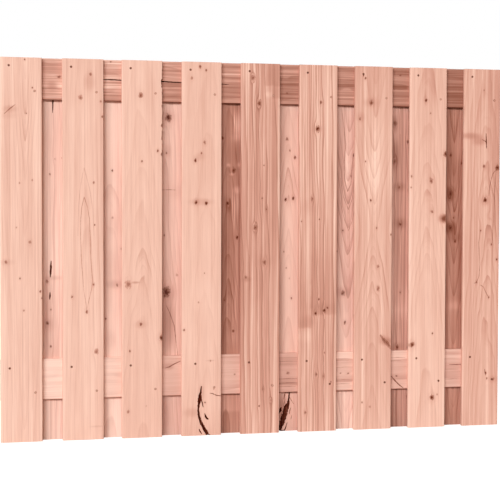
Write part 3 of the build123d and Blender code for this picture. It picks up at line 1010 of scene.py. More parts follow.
def bite_depth(along, torn, seed):
    """How far torn fibres bite into a long edge at each place along it."""
    rough = np.zeros_like(along)
    for row, wave, share in TORN_WAVES:
        rough += share * np.maximum(lattice_noise(np.full_like(along, row), along / wave, seed), 0)
    bite = np.zeros_like(along)
    for stretch in torn:
        after_start = np.clip((along - stretch.start) / TORN_FADE, 0, 1)
        before_end = np.clip((stretch.end - along) / TORN_FADE, 0, 1)
        bite += stretch.bite * (after_start * before_end) * rough
    return bite


def patch_sum(across, along, patches):
    """What soft patches add at each point."""
    added = np.zeros_like(across)
    for patch in patches:
        off_across = (across - patch.across) / patch.half_width
        off_along = (along - patch.along) / patch.half_length
        gap = off_across ** 2 + off_along ** 2
        added += patch.depth * np.exp(-PATCH_FADE * gap ** PATCH_EDGE)
    return added


def block_sum(across, along, blocks, seed):
    """What blocks of deeper wood add at each point."""
    added = np.zeros_like(across)
    shift = BLOCK_WAVE * lattice_noise(across / BLOCK_WAVE_LENGTH, along / BLOCK_WAVE_LENGTH, seed)
    for block in blocks:
        inside = np.clip((block.high - along) / block.fade + 0.5, 0, 1)
        for gap in (across - block.left, block.right - across, along - block.low):
            inside = inside * np.clip((gap + shift) / BLOCK_EDGE + 0.5, 0, 1)
        added += block.depth * inside
    return added


def wood_depth(across, along, width, marks, seed):
    """The depth of colour at each point: along the piece, its soft patches, and a painted highlight on its
    long edges.
    """
    places = [place for place, depth in marks.depths]
    depth = np.interp(along, places, [value for place, value in marks.depths])
    depth = depth + patch_sum(across, along, marks.patches) + block_sum(across, along, marks.blocks, seed)
    # A painted highlight: both long edges are made paler.
    edge = np.minimum(across, width - across)
    return depth - EDGE_HIGHLIGHT * np.exp(-(edge / EDGE_HIGHLIGHT_REACH) ** 2)


def nearest_knots(across, along, knots):
    """For each face, the two knots that bend its grain most: their places and sizes in metres, and shades."""
    gaps = []
    for knot in knots:
        gap = np.hypot(across - knot.across, (along - knot.along) / KNOT_STRETCH)
        gaps.append(gap / knot.radius)
    order = np.argsort(np.array(gaps), axis=0)
    table = np.array([(knot.across * MILLI, knot.along * MILLI, knot.radius * MILLI) for knot in knots])
    shades = np.array([knot.shade for knot in knots])
    pair = np.stack([shades[order[0]], shades[order[1]], np.zeros(len(across))], axis=1)
    return table[order[0]], table[order[1]], pair


def write_attribute(mesh, name, kind, domain, values):
    """Stores one array of numbers or vectors on a mesh."""
    attribute = mesh.attributes.new(name, kind, domain)
    field = "vector" if kind == "FLOAT_VECTOR" else "value"
    attribute.data.foreach_set(field, np.ascontiguousarray(values, dtype=np.float32).ravel())


def sheet_marks(across, along, behind, size, marks, pits, radius, seed):
    """One face at each point: its depth below the box, its dark in cracks and pits (partly dirt, partly
    painted shade) and how far torn fibres move it.
    """
    width, thickness = size
    from_edge = np.maximum(radius - np.minimum(across, width - across), 0)
    depth = radius - np.sqrt(radius ** 2 - from_edge ** 2)
    depth += RIPPLE * (1 + lattice_noise(across / RIPPLE_ACROSS, along / RIPPLE_ALONG, seed + behind))
    bark = np.zeros_like(across)
    # Cracks and pits are darkened as well as cut: partly dirt, partly painted shade of the hollows.
    if not behind:
        for index, crack in enumerate(marks.cracks):
            cut, dark = crack_cut(across, along, crack, seed + CRACK_SEED + index)
            depth = np.maximum(depth, np.minimum(depth + cut, thickness - CRACK_FLOOR))
            bark = np.maximum(bark, dark)
    pit = pit_cut(across, along, pits)
    depth += pit
    bark = np.maximum(bark, PIT_DIRT_AND_SHADE * np.clip(pit / PIT_MOUTH, 0, 1))
    near_edge = np.clip(1 - (width - across) / BITE_REACH, 0, 1)
    bite = -bite_depth(along, marks.torn, seed + TORN_SEED) * near_edge
    return depth, bark, bite


def sawn_mesh(name, node, marks, upright, pits, pits_behind, radius, seed):
    """A closed mesh for one board or rail in the box of its solid, with its eased edges, cracks and pits.

    Across, through and along are the piece's own directions: a board stands up and a rail lies along
    the panel. The front and rear sheets are joined by faces along their borders.
    """
    low, high = (np.array(corner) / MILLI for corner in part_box(node))
    width, length = (high[0] - low[0], high[2] - low[2]) if upright else (high[2] - low[2], high[0] - low[0])
    thickness = high[1] - low[1]

    faces = []
    borders = []
    stored = {"place": [], "tone": [], "figure": [], "bark": []}
    count = 0
    for behind, sheet in enumerate(marked_sheets(width, length, radius, marks, pits, pits_behind)):
        around = sheet.faces()
        keys = np.unique(np.concatenate(around))
        order = {key: count + index for index, key in enumerate(keys.tolist())}
        count += len(keys)
        turn = -1 if behind else 1
        faces += [[order[key] for key in face[::turn]] for face in around]
        borders.append({
            side: [[order[key] for key in run] for run in runs] for side, runs in sheet.borders().items()
        })
        across, along = sheet.places(keys)
        own_pits = pits if bool(behind) == pits_behind else []
        size = (width, thickness)
        depth, bark, bite = sheet_marks(across, along, behind, size, marks, own_pits, radius, seed)
        at_end = (along == 0) | (along == length)
        depth += END_BREAK * at_end
        moved = across + bite + at_end * END_BREAK * (1 - 2 * across / width)
        through = thickness - depth if behind else depth
        stored["place"].append(np.stack([moved, through, along], axis=1))
        tone = wood_depth(across, along, width, marks, seed + BLOCK_SEED) - TORN_PALE * np.abs(bite)
        stored["tone"].append(tone)
        stored["figure"].append(np.maximum(marks.figure.rings + patch_sum(across, along, marks.shows), 0))
        stored["bark"].append(bark)
    before, after = borders
    for side, turn in (("left", 1), ("right", -1)):
        faces += [run[::turn] + back[::-turn] for run, back in zip(before[side], after[side])]
    skin = len(faces)
    for side, turn in (("foot", -1), ("head", 1)):
        faces += [run[::turn] + back[::-turn] for run, back in zip(before[side], after[side])]

    stored = {label: np.concatenate(values) for label, values in stored.items()}
    place = stored["place"]
    points = low + (place if upright else place[:, ::-1])
    if not upright:
        faces = [face[::-1] for face in faces]
    mesh = bpy.data.meshes.new(name)
    mesh.from_pydata((points * MILLI).tolist(), [], faces)
    smooth = np.ones(len(faces), dtype=bool)
    smooth[skin:] = False
    mesh.polygons.foreach_set("use_smooth", smooth)
    mesh.set_sharp_from_angle(angle=radians(SHARP_ANGLE))
    write_attribute(mesh, "place", "FLOAT_VECTOR", "POINT", place * MILLI)
    for label in ("tone", "figure", "bark"):
        write_attribute(mesh, label, "FLOAT", "POINT", stored[label])
    centres = np.array([place[face].mean(axis=0) for face in faces])
    first, second, shades = nearest_knots(centres[:, 0], centres[:, 2], marks.knots)
    write_attribute(mesh, "knot_a", "FLOAT_VECTOR", "FACE", first)
    write_attribute(mesh, "knot_b", "FLOAT_VECTOR", "FACE", second)
    write_attribute(mesh, "knot_shades", "FLOAT_VECTOR", "FACE", shades)
    return mesh


def add_piece(name, mesh, nodes, material):
    """Puts a mesh into the scene as a piece that stands for its solids."""
    mesh.materials.append(material)
    piece = bpy.data.objects.new(name, mesh)
    bpy.context.collection.objects.link(piece)
    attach(piece, BODY)
    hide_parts(*nodes)


def screw_places(number):
    """A board's screws as (across, height) pairs. The stray screw is in one front board only."""
    places = [(UPPER_SCREW_ACROSS, height) for height in UPPER_SCREW_HEIGHTS]
    places += [(LOWER_SCREW_ACROSS, height) for height in LOWER_SCREW_HEIGHTS]
    if number == STRAY_BOARD:
        across, height = places[0]
        places[0] = (across + STRAY_SHIFT, height)
    return places


def screw_dust(number, height):
    """How much saw dust fills a head: most of the lower ones, but few at the right of the bottom rail."""
    if height not in LOWER_SCREW_HEIGHTS:
        return 0.0
    if height < LOWER_SCREW_HEIGHTS[1] and number > LAST_DUSTY_BOARD:
        return NEARLY_CLEAN
    return DUSTY


def screw_rings(settings):
    """The outline of one screw from the floor of its recess to its point, as (radius, depth, lobe) rings."""
    head = settings.head_diameter / 2 / MILLI
    shank = settings.shank_diameter / 2 / MILLI
    recess = settings.recess_diameter / 2 / MILLI
    lobe = recess * LOBE_SHARE
    floor = settings.recess_depth / MILLI
    neck = head - shank
    rings = [
        (recess * RECESS_FLOOR_SHARE, floor + RECESS_DISH, 0.0),
        (recess * RECESS_TAPER, floor, lobe * LOBE_TAPER),
        (recess, RECESS_BREAK, lobe),
        (recess + RECESS_BREAK, 0.0, lobe),
        (head - HEAD_BREAK, 0.0, 0.0),
        (head, HEAD_EDGE, 0.0),
        (head - HEAD_DRAFT, HEAD_LAND, 0.0),
        (shank, HEAD_LAND + neck, 0.0),
    ]
    thread_start = HEAD_LAND + neck + SMOOTH_SHANK
    rings.append((shank * SHANK_ROOT, thread_start, 0.0))
    length = settings.length / MILLI
    taper = length - POINT_LENGTH
    depth = thread_start + THREAD_STEP
    while depth < length - POINT_CLEAR:
        narrow = 1.0 if depth < taper else max((length - depth) / POINT_LENGTH, POINT_LEAST)
        rings.append((shank * narrow, depth, THREAD_FLAG))
        depth += THREAD_STEP
    rings.append((POINT_RADIUS, length, 0.0))
    return rings


def screw_points(settings):
    """The points of one screw about its own axis, ring by ring: two directions across, and depth."""
    angles = np.arange(SCREW_SEGMENTS) * 2 * pi / SCREW_SEGMENTS
    points = []
    for radius, depth, lobe in screw_rings(settings):
        if lobe == THREAD_FLAG:
            turn = (depth / THREAD_PITCH - angles / (2 * pi)) % 1.0
            crest = np.clip(1 - np.abs(turn - 0.5) / THREAD_CREST, 0, 1)
            radii = radius * (1 - THREAD_DEPTH * (1 - crest))
        else:
            radii = radius + lobe * np.cos(LOBES * angles)
        across = radii * np.cos(angles)
        up = radii * np.sin(angles)
        points.append(np.stack([across, up, np.full(SCREW_SEGMENTS, depth)], axis=1))
    return np.concatenate(points)


def screws_mesh(name, settings, places, dusts, turn, seed):
    """All the screws of one layer. Each (x, y, z) is the middle of a head, and turn is the way they point."""
    one = screw_points(settings)
    rings = len(one) // SCREW_SEGMENTS
    step = np.arange(SCREW_SEGMENTS)
    after = (step + 1) % SCREW_SEGMENTS
    start = np.arange(rings - 1)[:, None] * SCREW_SEGMENTS
    below = start + SCREW_SEGMENTS
    skin = np.stack([start + step, start + after, below + after, below + step], axis=2).reshape(-1, 4)
    draw = np.random.RandomState(seed)
    points = []
    faces = []
    for index, (x, y, z) in enumerate(places):
        angle = draw.uniform(0, 2 * pi)
        across = one[:, 0] * cos(angle) - one[:, 1] * sin(angle)
        up = one[:, 0] * sin(angle) + one[:, 1] * cos(angle)
        points.append(np.stack([x + across * MILLI, y + turn * one[:, 2] * MILLI, z + up * MILLI], axis=1))
        base = index * len(one)
        faces += (skin + base).tolist() if turn < 0 else (skin[:, ::-1] + base).tolist()
        floor = list(range(base, base + SCREW_SEGMENTS))
        point = list(range(base + (rings - 1) * SCREW_SEGMENTS, base + rings * SCREW_SEGMENTS))
        faces.append(floor[::-1] if turn < 0 else floor)
        faces.append(point if turn < 0 else point[::-1])
    mesh = bpy.data.meshes.new(name)
    mesh.from_pydata(np.concatenate(points).tolist(), [], faces)
    mesh.polygons.foreach_set("use_smooth", np.ones(len(faces), dtype=bool))
    mesh.set_sharp_from_angle(angle=radians(SHARP_ANGLE))
    write_attribute(mesh, "dust", "FLOAT", "POINT", np.repeat(dusts, len(one)))
    return mesh


def feed(tree, socket, value):
    """Links another socket to this one, or sets a plain value on it."""
    if isinstance(value, bpy.types.NodeSocket):
        tree.links.new(value, socket)
    else:
        socket.default_value = value


def calc(tree, operation, *values, clamp=False):
    """One math node."""
    node = tree.nodes.new("ShaderNodeMath")
    node.operation = operation
    node.use_clamp = clamp
    for socket, value in zip(node.inputs, values):
        feed(tree, socket, value)
    return node.outputs[0]


def squares(tree, first, second):
    """The sum of two squares."""
    return calc(tree, "ADD", calc(tree, "MULTIPLY", first, first), calc(tree, "MULTIPLY", second, second))


def total(tree, *terms):
    """The sum of (amount, value) terms."""
    result = 0.0
    for amount, value in terms:
        result = calc(tree, "MULTIPLY_ADD", value, amount, result)
    return result


def ramp(tree, value, low, high, start=0.0, end=1.0):
    """An eased change from start to end as a value goes from low to high."""
    node = tree.nodes.new("ShaderNodeMapRange")
    node.interpolation_type = "SMOOTHSTEP"
    for socket, number in zip(node.inputs, (value, low, high, start, end)):
        feed(tree, socket, number)
    return node.outputs[0]


def join(tree, x, y, z):
    """A vector from three values."""
    node = tree.nodes.new("ShaderNodeCombineXYZ")
    for socket, value in zip(node.inputs, (x, y, z)):
        feed(tree, socket, value)
    return node.outputs[0]


def part(tree, vector):
    """The three values of a vector."""
    node = tree.nodes.new("ShaderNodeSeparateXYZ")
    tree.links.new(vector, node.inputs[0])
    return node.outputs


def noise(tree, place, scales, seed, detail):
    """Smooth noise about zero, stretched by its three scales per metre."""
    stretched = [calc(tree, "MULTIPLY_ADD", value, scale, seed) for value, scale in zip(place, scales)]
    node = tree.nodes.new("ShaderNodeTexNoise")
    tree.links.new(join(tree, *stretched), node.inputs["Vector"])
    node.inputs["Scale"].default_value = 1.0
    node.inputs["Detail"].default_value = detail
    return calc(tree, "SUBTRACT", node.outputs[0], 0.5)


def attribute(tree, name, kind):
    """A value or vector stored on the mesh."""
    node = tree.nodes.new("ShaderNodeAttribute")
    node.attribute_name = name
    return node.outputs[kind]


def new_group(name, inputs, outputs):
    """An empty shader group with its sockets: the group, what comes in and what goes out."""
    group = bpy.data.node_groups.new(name, "ShaderNodeTree")
    for label, kind in inputs:
        group.interface.new_socket(label, in_out="INPUT", socket_type=kind)
    for label, kind in outputs:
        group.interface.new_socket(label, in_out="OUTPUT", socket_type=kind)
    return group, group.nodes.new("NodeGroupInput").outputs, group.nodes.new("NodeGroupOutput").inputs


def feed_node(tree, node, values):
    """Links or sets a node's inputs by name."""
    for label, value in values.items():
        feed(tree, node.inputs[label], value)


def use_group(tree, group, values):
    """Places a group in a tree with values by input name, and gives its outputs."""
    node = tree.nodes.new("ShaderNodeGroup")
    node.node_tree = group
    feed_node(tree, node, values)
    return node.outputs


def knot_flow_group():
    """Bends the grain round the two nearest knots, and says where the knots, their rims and halos are."""
    tree, came, goes = new_group(
        "Knot flow",
        (("Across", NUMBER), ("Along", NUMBER), ("Jitter", NUMBER)),
        (("Bent across", NUMBER), ("Core", NUMBER), ("Rim", NUMBER), ("Halo", NUMBER), ("Eye", NUMBER)),
    )
    across = came["Across"]
    bent = across
    shades = part(tree, attribute(tree, "knot_shades", "Vector"))
    masks = {"Core": 0.0, "Rim": 0.0, "Halo": 0.0, "Eye": 0.0}
    for label, shade in (("knot_a", shades[0]), ("knot_b", shades[1])):
        knot_across, knot_along, radius = part(tree, attribute(tree, label, "Vector"))
        away = calc(tree, "SUBTRACT", across, knot_across)
        up = calc(tree, "SUBTRACT", came["Along"], knot_along)
        flow_up = calc(tree, "MULTIPLY", up, 1 / KNOT_STRETCH)
        flow_gap = calc(tree, "ADD", squares(tree, away, flow_up), FLOW_FLOOR)
        reach = calc(tree, "MULTIPLY", radius, FLOW_REACH)
        push = calc(tree, "DIVIDE", calc(tree, "MULTIPLY", reach, reach), flow_gap)
        bent = calc(tree, "SUBTRACT", bent, calc(tree, "MULTIPLY", away, push))
        core_up = calc(tree, "MULTIPLY", up, KNOT_FLATNESS)
        gap = calc(tree, "DIVIDE", calc(tree, "SQRT", squares(tree, away, core_up)), radius)
        gap = calc(tree, "MULTIPLY_ADD", came["Jitter"], KNOT_RAGGED, gap)
        rim_gap = calc(tree, "ABSOLUTE", calc(tree, "SUBTRACT", gap, RIM_PLACE))
        parts = (("Core", gap, CORE_FADE), ("Eye", gap, EYE_FADE), ("Halo", gap, HALO_FADE))
        for name, off, fade in parts + (("Rim", rim_gap, RIM_FADE),):
            mask = calc(tree, "MULTIPLY", ramp(tree, off, *fade, 1.0, 0.0), shade)
            masks[name] = calc(tree, "MAXIMUM", mask, masks[name])
    feed(tree, goes["Bent across"], bent)
    for name, mask in masks.items():
        feed(tree, goes[name], mask)
    return tree


def growth_rings_group():
    """The rings of the log as this piece was sawn from it: the late wood lines, and a value for each ring."""
    tree, came, goes = new_group(
        "Growth rings",
        [(label, NUMBER) for label in ("Across", "Through", "Along", "Wander") + RING_INPUTS],
        (("Late wood", NUMBER), ("Ring value", NUMBER)),
    )
    centre = calc(tree, "MULTIPLY_ADD", came["Along"], came["Lean"], came["Heart across"])
    side = calc(tree, "SUBTRACT", came["Across"], centre)
    back = calc(tree, "SUBTRACT", came["Through"], came["Heart through"])
    radius = calc(tree, "SQRT", squares(tree, side, back))
    away = calc(tree, "SUBTRACT", came["Along"], came["Turn"])
    away = calc(tree, "SQRT", calc(tree, "MULTIPLY_ADD", away, away, TURN_ROUNDING * TURN_ROUNDING))
    radius = calc(tree, "MULTIPLY_ADD", away, came["Taper"], radius)
    radius = calc(tree, "ADD", radius, came["Wander"])
    count = calc(tree, "DIVIDE", radius, came["Spacing"])
    uneven = calc(tree, "SINE", calc(tree, "MULTIPLY", count, UNEVEN_RATE))
    count = calc(tree, "MULTIPLY_ADD", uneven, UNEVEN_SHARE, count)
    late = 0.0
    for parts, amount in FINE_RINGS:
        phase = calc(tree, "FRACT", calc(tree, "MULTIPLY", count, parts))
        line = calc(tree, "POWER", ramp(tree, phase, *LATE_WOOD_RISE), LATE_WOOD_EDGE)
        line = calc(tree, "MULTIPLY_ADD", calc(tree, "MULTIPLY", phase, phase), EARLY_WOOD_SHARE, line)
        line = calc(tree, "MULTIPLY", line, ramp(tree, phase, *LATE_WOOD_END, 1.0, 0.0))
        late = calc(tree, "MULTIPLY_ADD", line, amount, late)
    feed(tree, goes["Late wood"], late)
    white = tree.nodes.new("ShaderNodeTexWhiteNoise")
    white.noise_dimensions = "1D"
    feed(tree, white.inputs["W"], calc(tree, "FLOOR", count))
    feed(tree, goes["Ring value"], white.outputs["Value"])
    return tree


def fibres_group():
    """Fine fibres, broad streaks and soft blotches that run with the grain, each about zero."""
    tree, came, goes = new_group(
        "Fibres",
        (("Across", NUMBER), ("Through", NUMBER), ("Along", NUMBER), ("Seed", NUMBER)),
        [(label, NUMBER) for label, scales, detail in FIBRE_SCALES],
    )
    place = (came["Across"], came["Through"], came["Along"])
    for label, scales, detail in FIBRE_SCALES:
        feed(tree, goes[label], noise(tree, place, scales, came["Seed"], detail))
    return tree


def softwood_group(wood):
    """Sawn softwood: colour, roughness and height from the stored marks and one piece's own figure."""
    tree, came, goes = new_group(
        "Softwood",
        [(label, NUMBER) for label in ("Seed", "Saturation") + tuple(FIGURE_INPUTS)],
        (("Colour", COLOUR), ("Roughness", NUMBER), ("Height", NUMBER)),
    )
    across, through, along = part(tree, attribute(tree, "place", "Vector"))
    plain = {"Across": across, "Through": through, "Along": along, "Seed": came["Seed"]}
    first = use_group(tree, wood["fibres"], plain)
    knots = use_group(tree, wood["knots"], {"Across": across, "Along": along, "Jitter": first["Jitter"]})
    bent = knots["Bent across"]

    flow = {label: came[label] for label in RING_INPUTS}
    flow.update({"Across": bent, "Through": through, "Along": along})
    flow["Wander"] = calc(tree, "MULTIPLY", first["Wave"], came["Wander"])
    rings = use_group(tree, wood["rings"], flow)

    clear = calc(tree, "SUBTRACT", 1.0, knots["Core"], clamp=True)
    strong = calc(tree, "MULTIPLY_ADD", rings["Ring value"], RING_SPREAD, RING_LEAST)
    even = calc(tree, "MULTIPLY_ADD", first["Blotch"], RING_BLOTCHES, 1.0, clamp=True)
    strong = calc(tree, "MULTIPLY", strong, even)
    late = calc(tree, "MULTIPLY", calc(tree, "MULTIPLY", rings["Late wood"], strong), clear)
    bands = calc(tree, "MULTIPLY_ADD", rings["Ring value"], BAND_SHARE, -0.5 * BAND_SHARE)
    lines = calc(tree, "ADD", calc(tree, "SUBTRACT", late, RING_MEAN), calc(tree, "MULTIPLY", bands, clear))
    lines = calc(tree, "MULTIPLY", lines, attribute(tree, "figure", "Fac"))
    streaks = calc(tree, "MULTIPLY", first["Streak"], came["Streaks"])
    threads = calc(tree, "MULTIPLY", first["Thread"], came["Streaks"])
    # The dark in cracks and pits, partly dirt and partly painted shade of the hollows, broken up by threads
    # and specks.
    flakes = calc(tree, "MULTIPLY_ADD", first["Jitter"], DIRT_AND_SHADE_SPECKS, DIRT_AND_SHADE_MEAN)
    flakes = calc(tree, "MULTIPLY_ADD", first["Thread"], DIRT_AND_SHADE_THREADS, flakes)
    bark = calc(tree, "MULTIPLY", attribute(tree, "bark", "Fac"), flakes)
    depth = total(
        tree,
        (1.0, attribute(tree, "tone", "Fac")),
        (1.0, lines),
        (STREAK_DEPTH, streaks),
        (FINE_DEPTH, first["Fine"]),
        (BLOTCH_DEPTH, first["Blotch"]),
        (CORE_DEPTH, knots["Core"]),
        (RIM_DEPTH, knots["Rim"]),
        (HALO_DEPTH, knots["Halo"]),
        (EYE_DEPTH, knots["Eye"]),
        (THREAD_LINE_DEPTH, threads),
        (DIRT_AND_SHADE_DEPTH, bark),
    )
    shades = tree.nodes.new("ShaderNodeValToRGB")
    feed(tree, shades.inputs[0], calc(tree, "DIVIDE", depth, DEEPEST))
    stops = shades.color_ramp.elements
    while len(stops) < len(wood["colours"]):
        stops.new(0.5)
    for stop, (position, colour) in zip(stops, wood["colours"]):
        stop.position = position / DEEPEST
        stop.color = (*colour, 1.0)
    tint = tree.nodes.new("ShaderNodeHueSaturation")
    bleached = calc(tree, "SUBTRACT", 1.0, came["Saturation"])
    feed(tree, tint.inputs["Saturation"], calc(tree, "MULTIPLY_ADD", bleached, bark, came["Saturation"]))
    feed(tree, tint.inputs["Color"], shades.outputs["Color"])
    feed(tree, goes["Colour"], tint.outputs["Color"])
    rough = total(
        tree,
        (FINE_ROUGHNESS, first["Fine"]),
        (CORE_ROUGHNESS, knots["Core"]),
        (DIRT_AND_SHADE_ROUGHNESS, bark),
        (LATE_ROUGHNESS, late),
    )
    feed(tree, goes["Roughness"], calc(tree, "ADD", rough, WOOD_ROUGHNESS))
    height = total(
        tree,
        (FINE_HEIGHT, first["Fine"]),
        (LATE_HEIGHT, late),
        (CORE_HEIGHT, knots["Core"]),
        (SPECK_HEIGHT, first["Jitter"]),
    )
    feed(tree, goes["Height"], height)
    return tree


def prepare_wood(settings):
    """Builds the shared groups, with the row of colours from the palest wood to the dark of the cracks and
    pits.
    """
    wood = {"knots": knot_flow_group(), "rings": growth_rings_group(), "fibres": fibres_group()}
    wood["colours"] = [(position, getattr(settings, name)[:]) for name, position in WOOD_COLOURS]
    softwood_group(wood)


def new_material(name):
    """A new material, its node tree and its shader."""
    material = bpy.data.materials.new(name)
    material.use_nodes = True
    tree = material.node_tree
    return material, tree, tree.nodes["Principled BSDF"]


def bumps(tree, strength, distance, height):
    """A normal that follows a height."""
    node = tree.nodes.new("ShaderNodeBump")
    feed_node(tree, node, {"Strength": strength, "Distance": distance, "Height": height})
    return node.outputs["Normal"]


def wood_material(name, marks, seed):
    """One piece's wood, with its own figure in the shared softwood group."""
    material, tree, shader = new_material(name)
    values = {"Seed": seed * GRAIN_SEED_STEP, "Saturation": marks.saturation}
    for label, (field, unit) in FIGURE_INPUTS.items():
        values[label] = getattr(marks.figure, field) * unit
    wood = use_group(tree, bpy.data.node_groups["Softwood"], values)
    feed_node(tree, shader, {
        "Base Color": wood["Colour"],
        "Roughness": wood["Roughness"],
        "Specular IOR Level": WOOD_SPECULAR,
        "Normal": bumps(tree, GRAIN_BUMP, GRAIN_HEIGHT, wood["Height"]),
    })
    return material


def screw_material(settings):
    """Brown coated steel, uneven and rubbed, with saw dust in some heads."""
    material, tree, shader = new_material("coated_screw_steel")
    where = tree.nodes.new("ShaderNodeTexCoord")
    texture = tree.nodes.new("ShaderNodeTexNoise")
    feed_node(tree, texture, {"Vector": where.outputs["Object"], "Scale": SPOT_SCALE, "Detail": SPOT_DETAIL})
    spots = texture.outputs[0]
    colours = tree.nodes.new("ShaderNodeValToRGB")
    coat, rubbed = colours.color_ramp.elements
    coat.position = COAT_STOP
    coat.color = (*settings.coat, 1.0)
    rubbed.position = RUBBED_STOP
    rubbed.color = (*settings.rubbed, 1.0)
    feed(tree, colours.inputs[0], spots)
    heaps = calc(tree, "MULTIPLY_ADD", spots, DUST_HEAPS, -0.5 * DUST_HEAPS)
    cover = calc(tree, "ADD", attribute(tree, "dust", "Fac"), heaps)
    dusty = tree.nodes.new("ShaderNodeMix")
    dusty.data_type = "RGBA"
    feed_node(tree, dusty, {
        "Factor": ramp(tree, cover, *DUST_FADE), "A": colours.outputs["Color"], "B": (*settings.dust, 1.0)
    })
    feed_node(tree, shader, {
        "Base Color": dusty.outputs["Result"],
        "Roughness": ramp(tree, spots, *COAT_ROUGHNESS),
        "Metallic": COAT_METALLIC,
        "Normal": bumps(tree, COAT_BUMP, COAT_HEIGHT, spots),
    })
    return material


def screen(red, green, blue):
    """A colour as a screen shows it, from 0 to 255, turned into the linear values that shaders use."""
    linear = []
    for value in (red, green, blue):
        share = value / SCREEN_FULL
        curved = ((share + SCREEN_OFFSET) / (1 + SCREEN_OFFSET)) ** SCREEN_POWER
        linear.append(share / SCREEN_SLOPE if share < SCREEN_BEND else curved)
    return tuple(linear)


def colour_property(name, description, default):
    """A colour that a user would change."""
    return FloatVectorProperty(
        name=name, description=description, subtype="COLOR", size=3, min=0, max=1, default=default
    )


def length_property(name, description, default, **limits):
    """A length in metres."""
    return FloatProperty(name=name, description=description, unit="LENGTH", default=default, **limits)


def angle_property(name, description, degrees, **limits):
    """An angle, given in degrees."""
    default = radians(degrees)
    return FloatProperty(name=name, description=description, subtype="ANGLE", default=default, **limits)


def strength_property(name, description, default):
    """The strength of a light."""
    return FloatProperty(name=name, description=description, min=0, default=default)


class FenceWoodSettings(bpy.types.PropertyGroup):
    """The wood's colours from the palest to the deepest, and its eased edges."""

    fresh: colour_property("Fresh wood", "The palest planed wood", screen(255, 211, 190))
    planed: colour_property("Planed wood", "The usual pale face", screen(245, 197, 176))
    ripe: colour_property("Ripe wood", "Slightly deeper wood", screen(232, 180, 159))
    red: colour_property("Red wood", "The face of the redder boards", screen(215, 156, 136))
    late: colour_property("Late wood", "The darker lines of the redder boards", screen(188, 130, 110))
    heart: colour_property("Heart wood", "The deepest stripes and the pale knots", screen(148, 89, 69))
    knot: colour_property("Knot", "The middle of a dark knot", screen(106, 46, 26))
    # The darkest colour, in cracks and pits: partly dirt, partly painted shade of the hollows.
    bark: colour_property("Bark", "Bark and dirt in the cracks", screen(66, 14, 3))
    edge_radius: length_property("Edge radius", "Rounding of the long edges", 0.0025, min=0.0005, max=0.006)


class FenceScrewSettings(bpy.types.PropertyGroup):
    """The size and the colours of the screws."""

    head_diameter: length_property("Head", "Across the head", 0.0066)
    shank_diameter: length_property("Shank", "Across the thread", 0.0036)
    recess_diameter: length_property("Recess", "Across the drive recess", 0.0030)
    recess_depth: length_property("Recess depth", "Depth of the drive", 0.0014)
    length: length_property("Length", "From head to point", 0.030)
    sink: length_property("Sink", "How far the head lies below the face", 0.0006)
    coat: colour_property("Coat", "The brown coat", screen(112, 64, 46))
    rubbed: colour_property("Rubbed coat", "Where the coat is rubbed", screen(150, 96, 74))
    dust: colour_property("Dust", "Saw dust in the heads", screen(214, 160, 138))


class FenceStageSettings(bpy.types.PropertyGroup):
    """The floor, the light and the camera."""

    floor: colour_property("Floor", "The pale floor", (0.52, 0.47, 0.43))
    floor_glow: strength_property("Floor glow", "White that the floor adds in view", 0.84)
    sky_colour: colour_property("Sky colour", "The warm light from all round", (1.0, 0.76, 0.60))
    sky: strength_property("Sky", "Strength of the light from all round", 0.27)
    lamp_colour: colour_property("Lamp colour", "The cooler light of the lamps", (0.877, 0.95, 1.0))
    key: strength_property("Key", "Strength of the soft lights from the left", 3.17)
    key_rise: angle_property("Key rise", "How high the lights from the left stand", 20)
    key_near: angle_property("Key near", "How far left the nearest light stands", 14)
    key_far: angle_property("Key far", "How far left the last light stands", 47)
    key_count: IntProperty(
        name="Key count", description="How many lights stand on the left", min=1, default=4
    )
    back: strength_property("Back", "Strength of the soft light from behind", 2.51)
    back_rise: angle_property("Back rise", "How high the light from behind stands", 20)
    back_side: angle_property("Back side", "How far round the light from behind stands", -150)
    softness: angle_property("Softness", "How wide the lights are", 10, min=0)
    lens: FloatProperty(name="Lens", description="Focal length in millimetres", min=10, default=98.9)
    camera_place: FloatVectorProperty(
        name="Camera place", description="Where the camera stands", subtype="TRANSLATION", unit="LENGTH",
        default=(-1.1441, -4.7079, 0.8210),
    )
    camera_turn: FloatVectorProperty(
        name="Camera turn", description="How the camera is turned", subtype="EULER", unit="ROTATION",
        default=(radians(87.938), radians(-0.161), radians(-13.2875)),
    )


class FencePrepareWood(bpy.types.Operator):
    """Build the shader groups that every board and rail uses"""

    bl_idname = "fence.prepare_wood"
    bl_label = "Prepare wood"

    def execute(self, context):
        prepare_wood(context.scene.fence_wood)
        return {"FINISHED"}


def add_timber(node, marks, upright, pits, pits_behind, radius, seed):
    """Adds one board or rail in place of its solid."""
    name = node + "_wood"
    mesh = sawn_mesh(name, node, marks, upright, pits, pits_behind, radius, seed * MESH_SEED_STEP)
    add_piece(name, mesh, [node], wood_material(name, marks, seed))


def add_boards(layer, boards, pits_behind, radius, first_seed):
    """Adds one layer of upright boards."""
    for number, marks in enumerate(boards, start=1):
        pits = screw_places(0 if pits_behind else number)
        add_timber(f"{layer}_board_{number}", marks, True, pits, pits_behind, radius, first_seed + number)


class FenceAddFrontBoards(bpy.types.Operator):
    """Add the nine front boards with their cracks, pits and torn edges"""

    bl_idname = "fence.add_front_boards"
    bl_label = "Front boards"

    def execute(self, context):
        radius = context.scene.fence_wood.edge_radius / MILLI
        add_boards("front", FRONT_BOARDS, False, radius, FRONT_SEED)
        return {"FINISHED"}


class FenceAddRearBoards(bpy.types.Operator):
    """Add the eight rear boards, whose screws come in from behind"""

    bl_idname = "fence.add_rear_boards"
    bl_label = "Rear boards"

    def execute(self, context):
        radius = context.scene.fence_wood.edge_radius / MILLI
        add_boards("rear", REAR_BOARDS, True, radius, REAR_SEED)
        return {"FINISHED"}


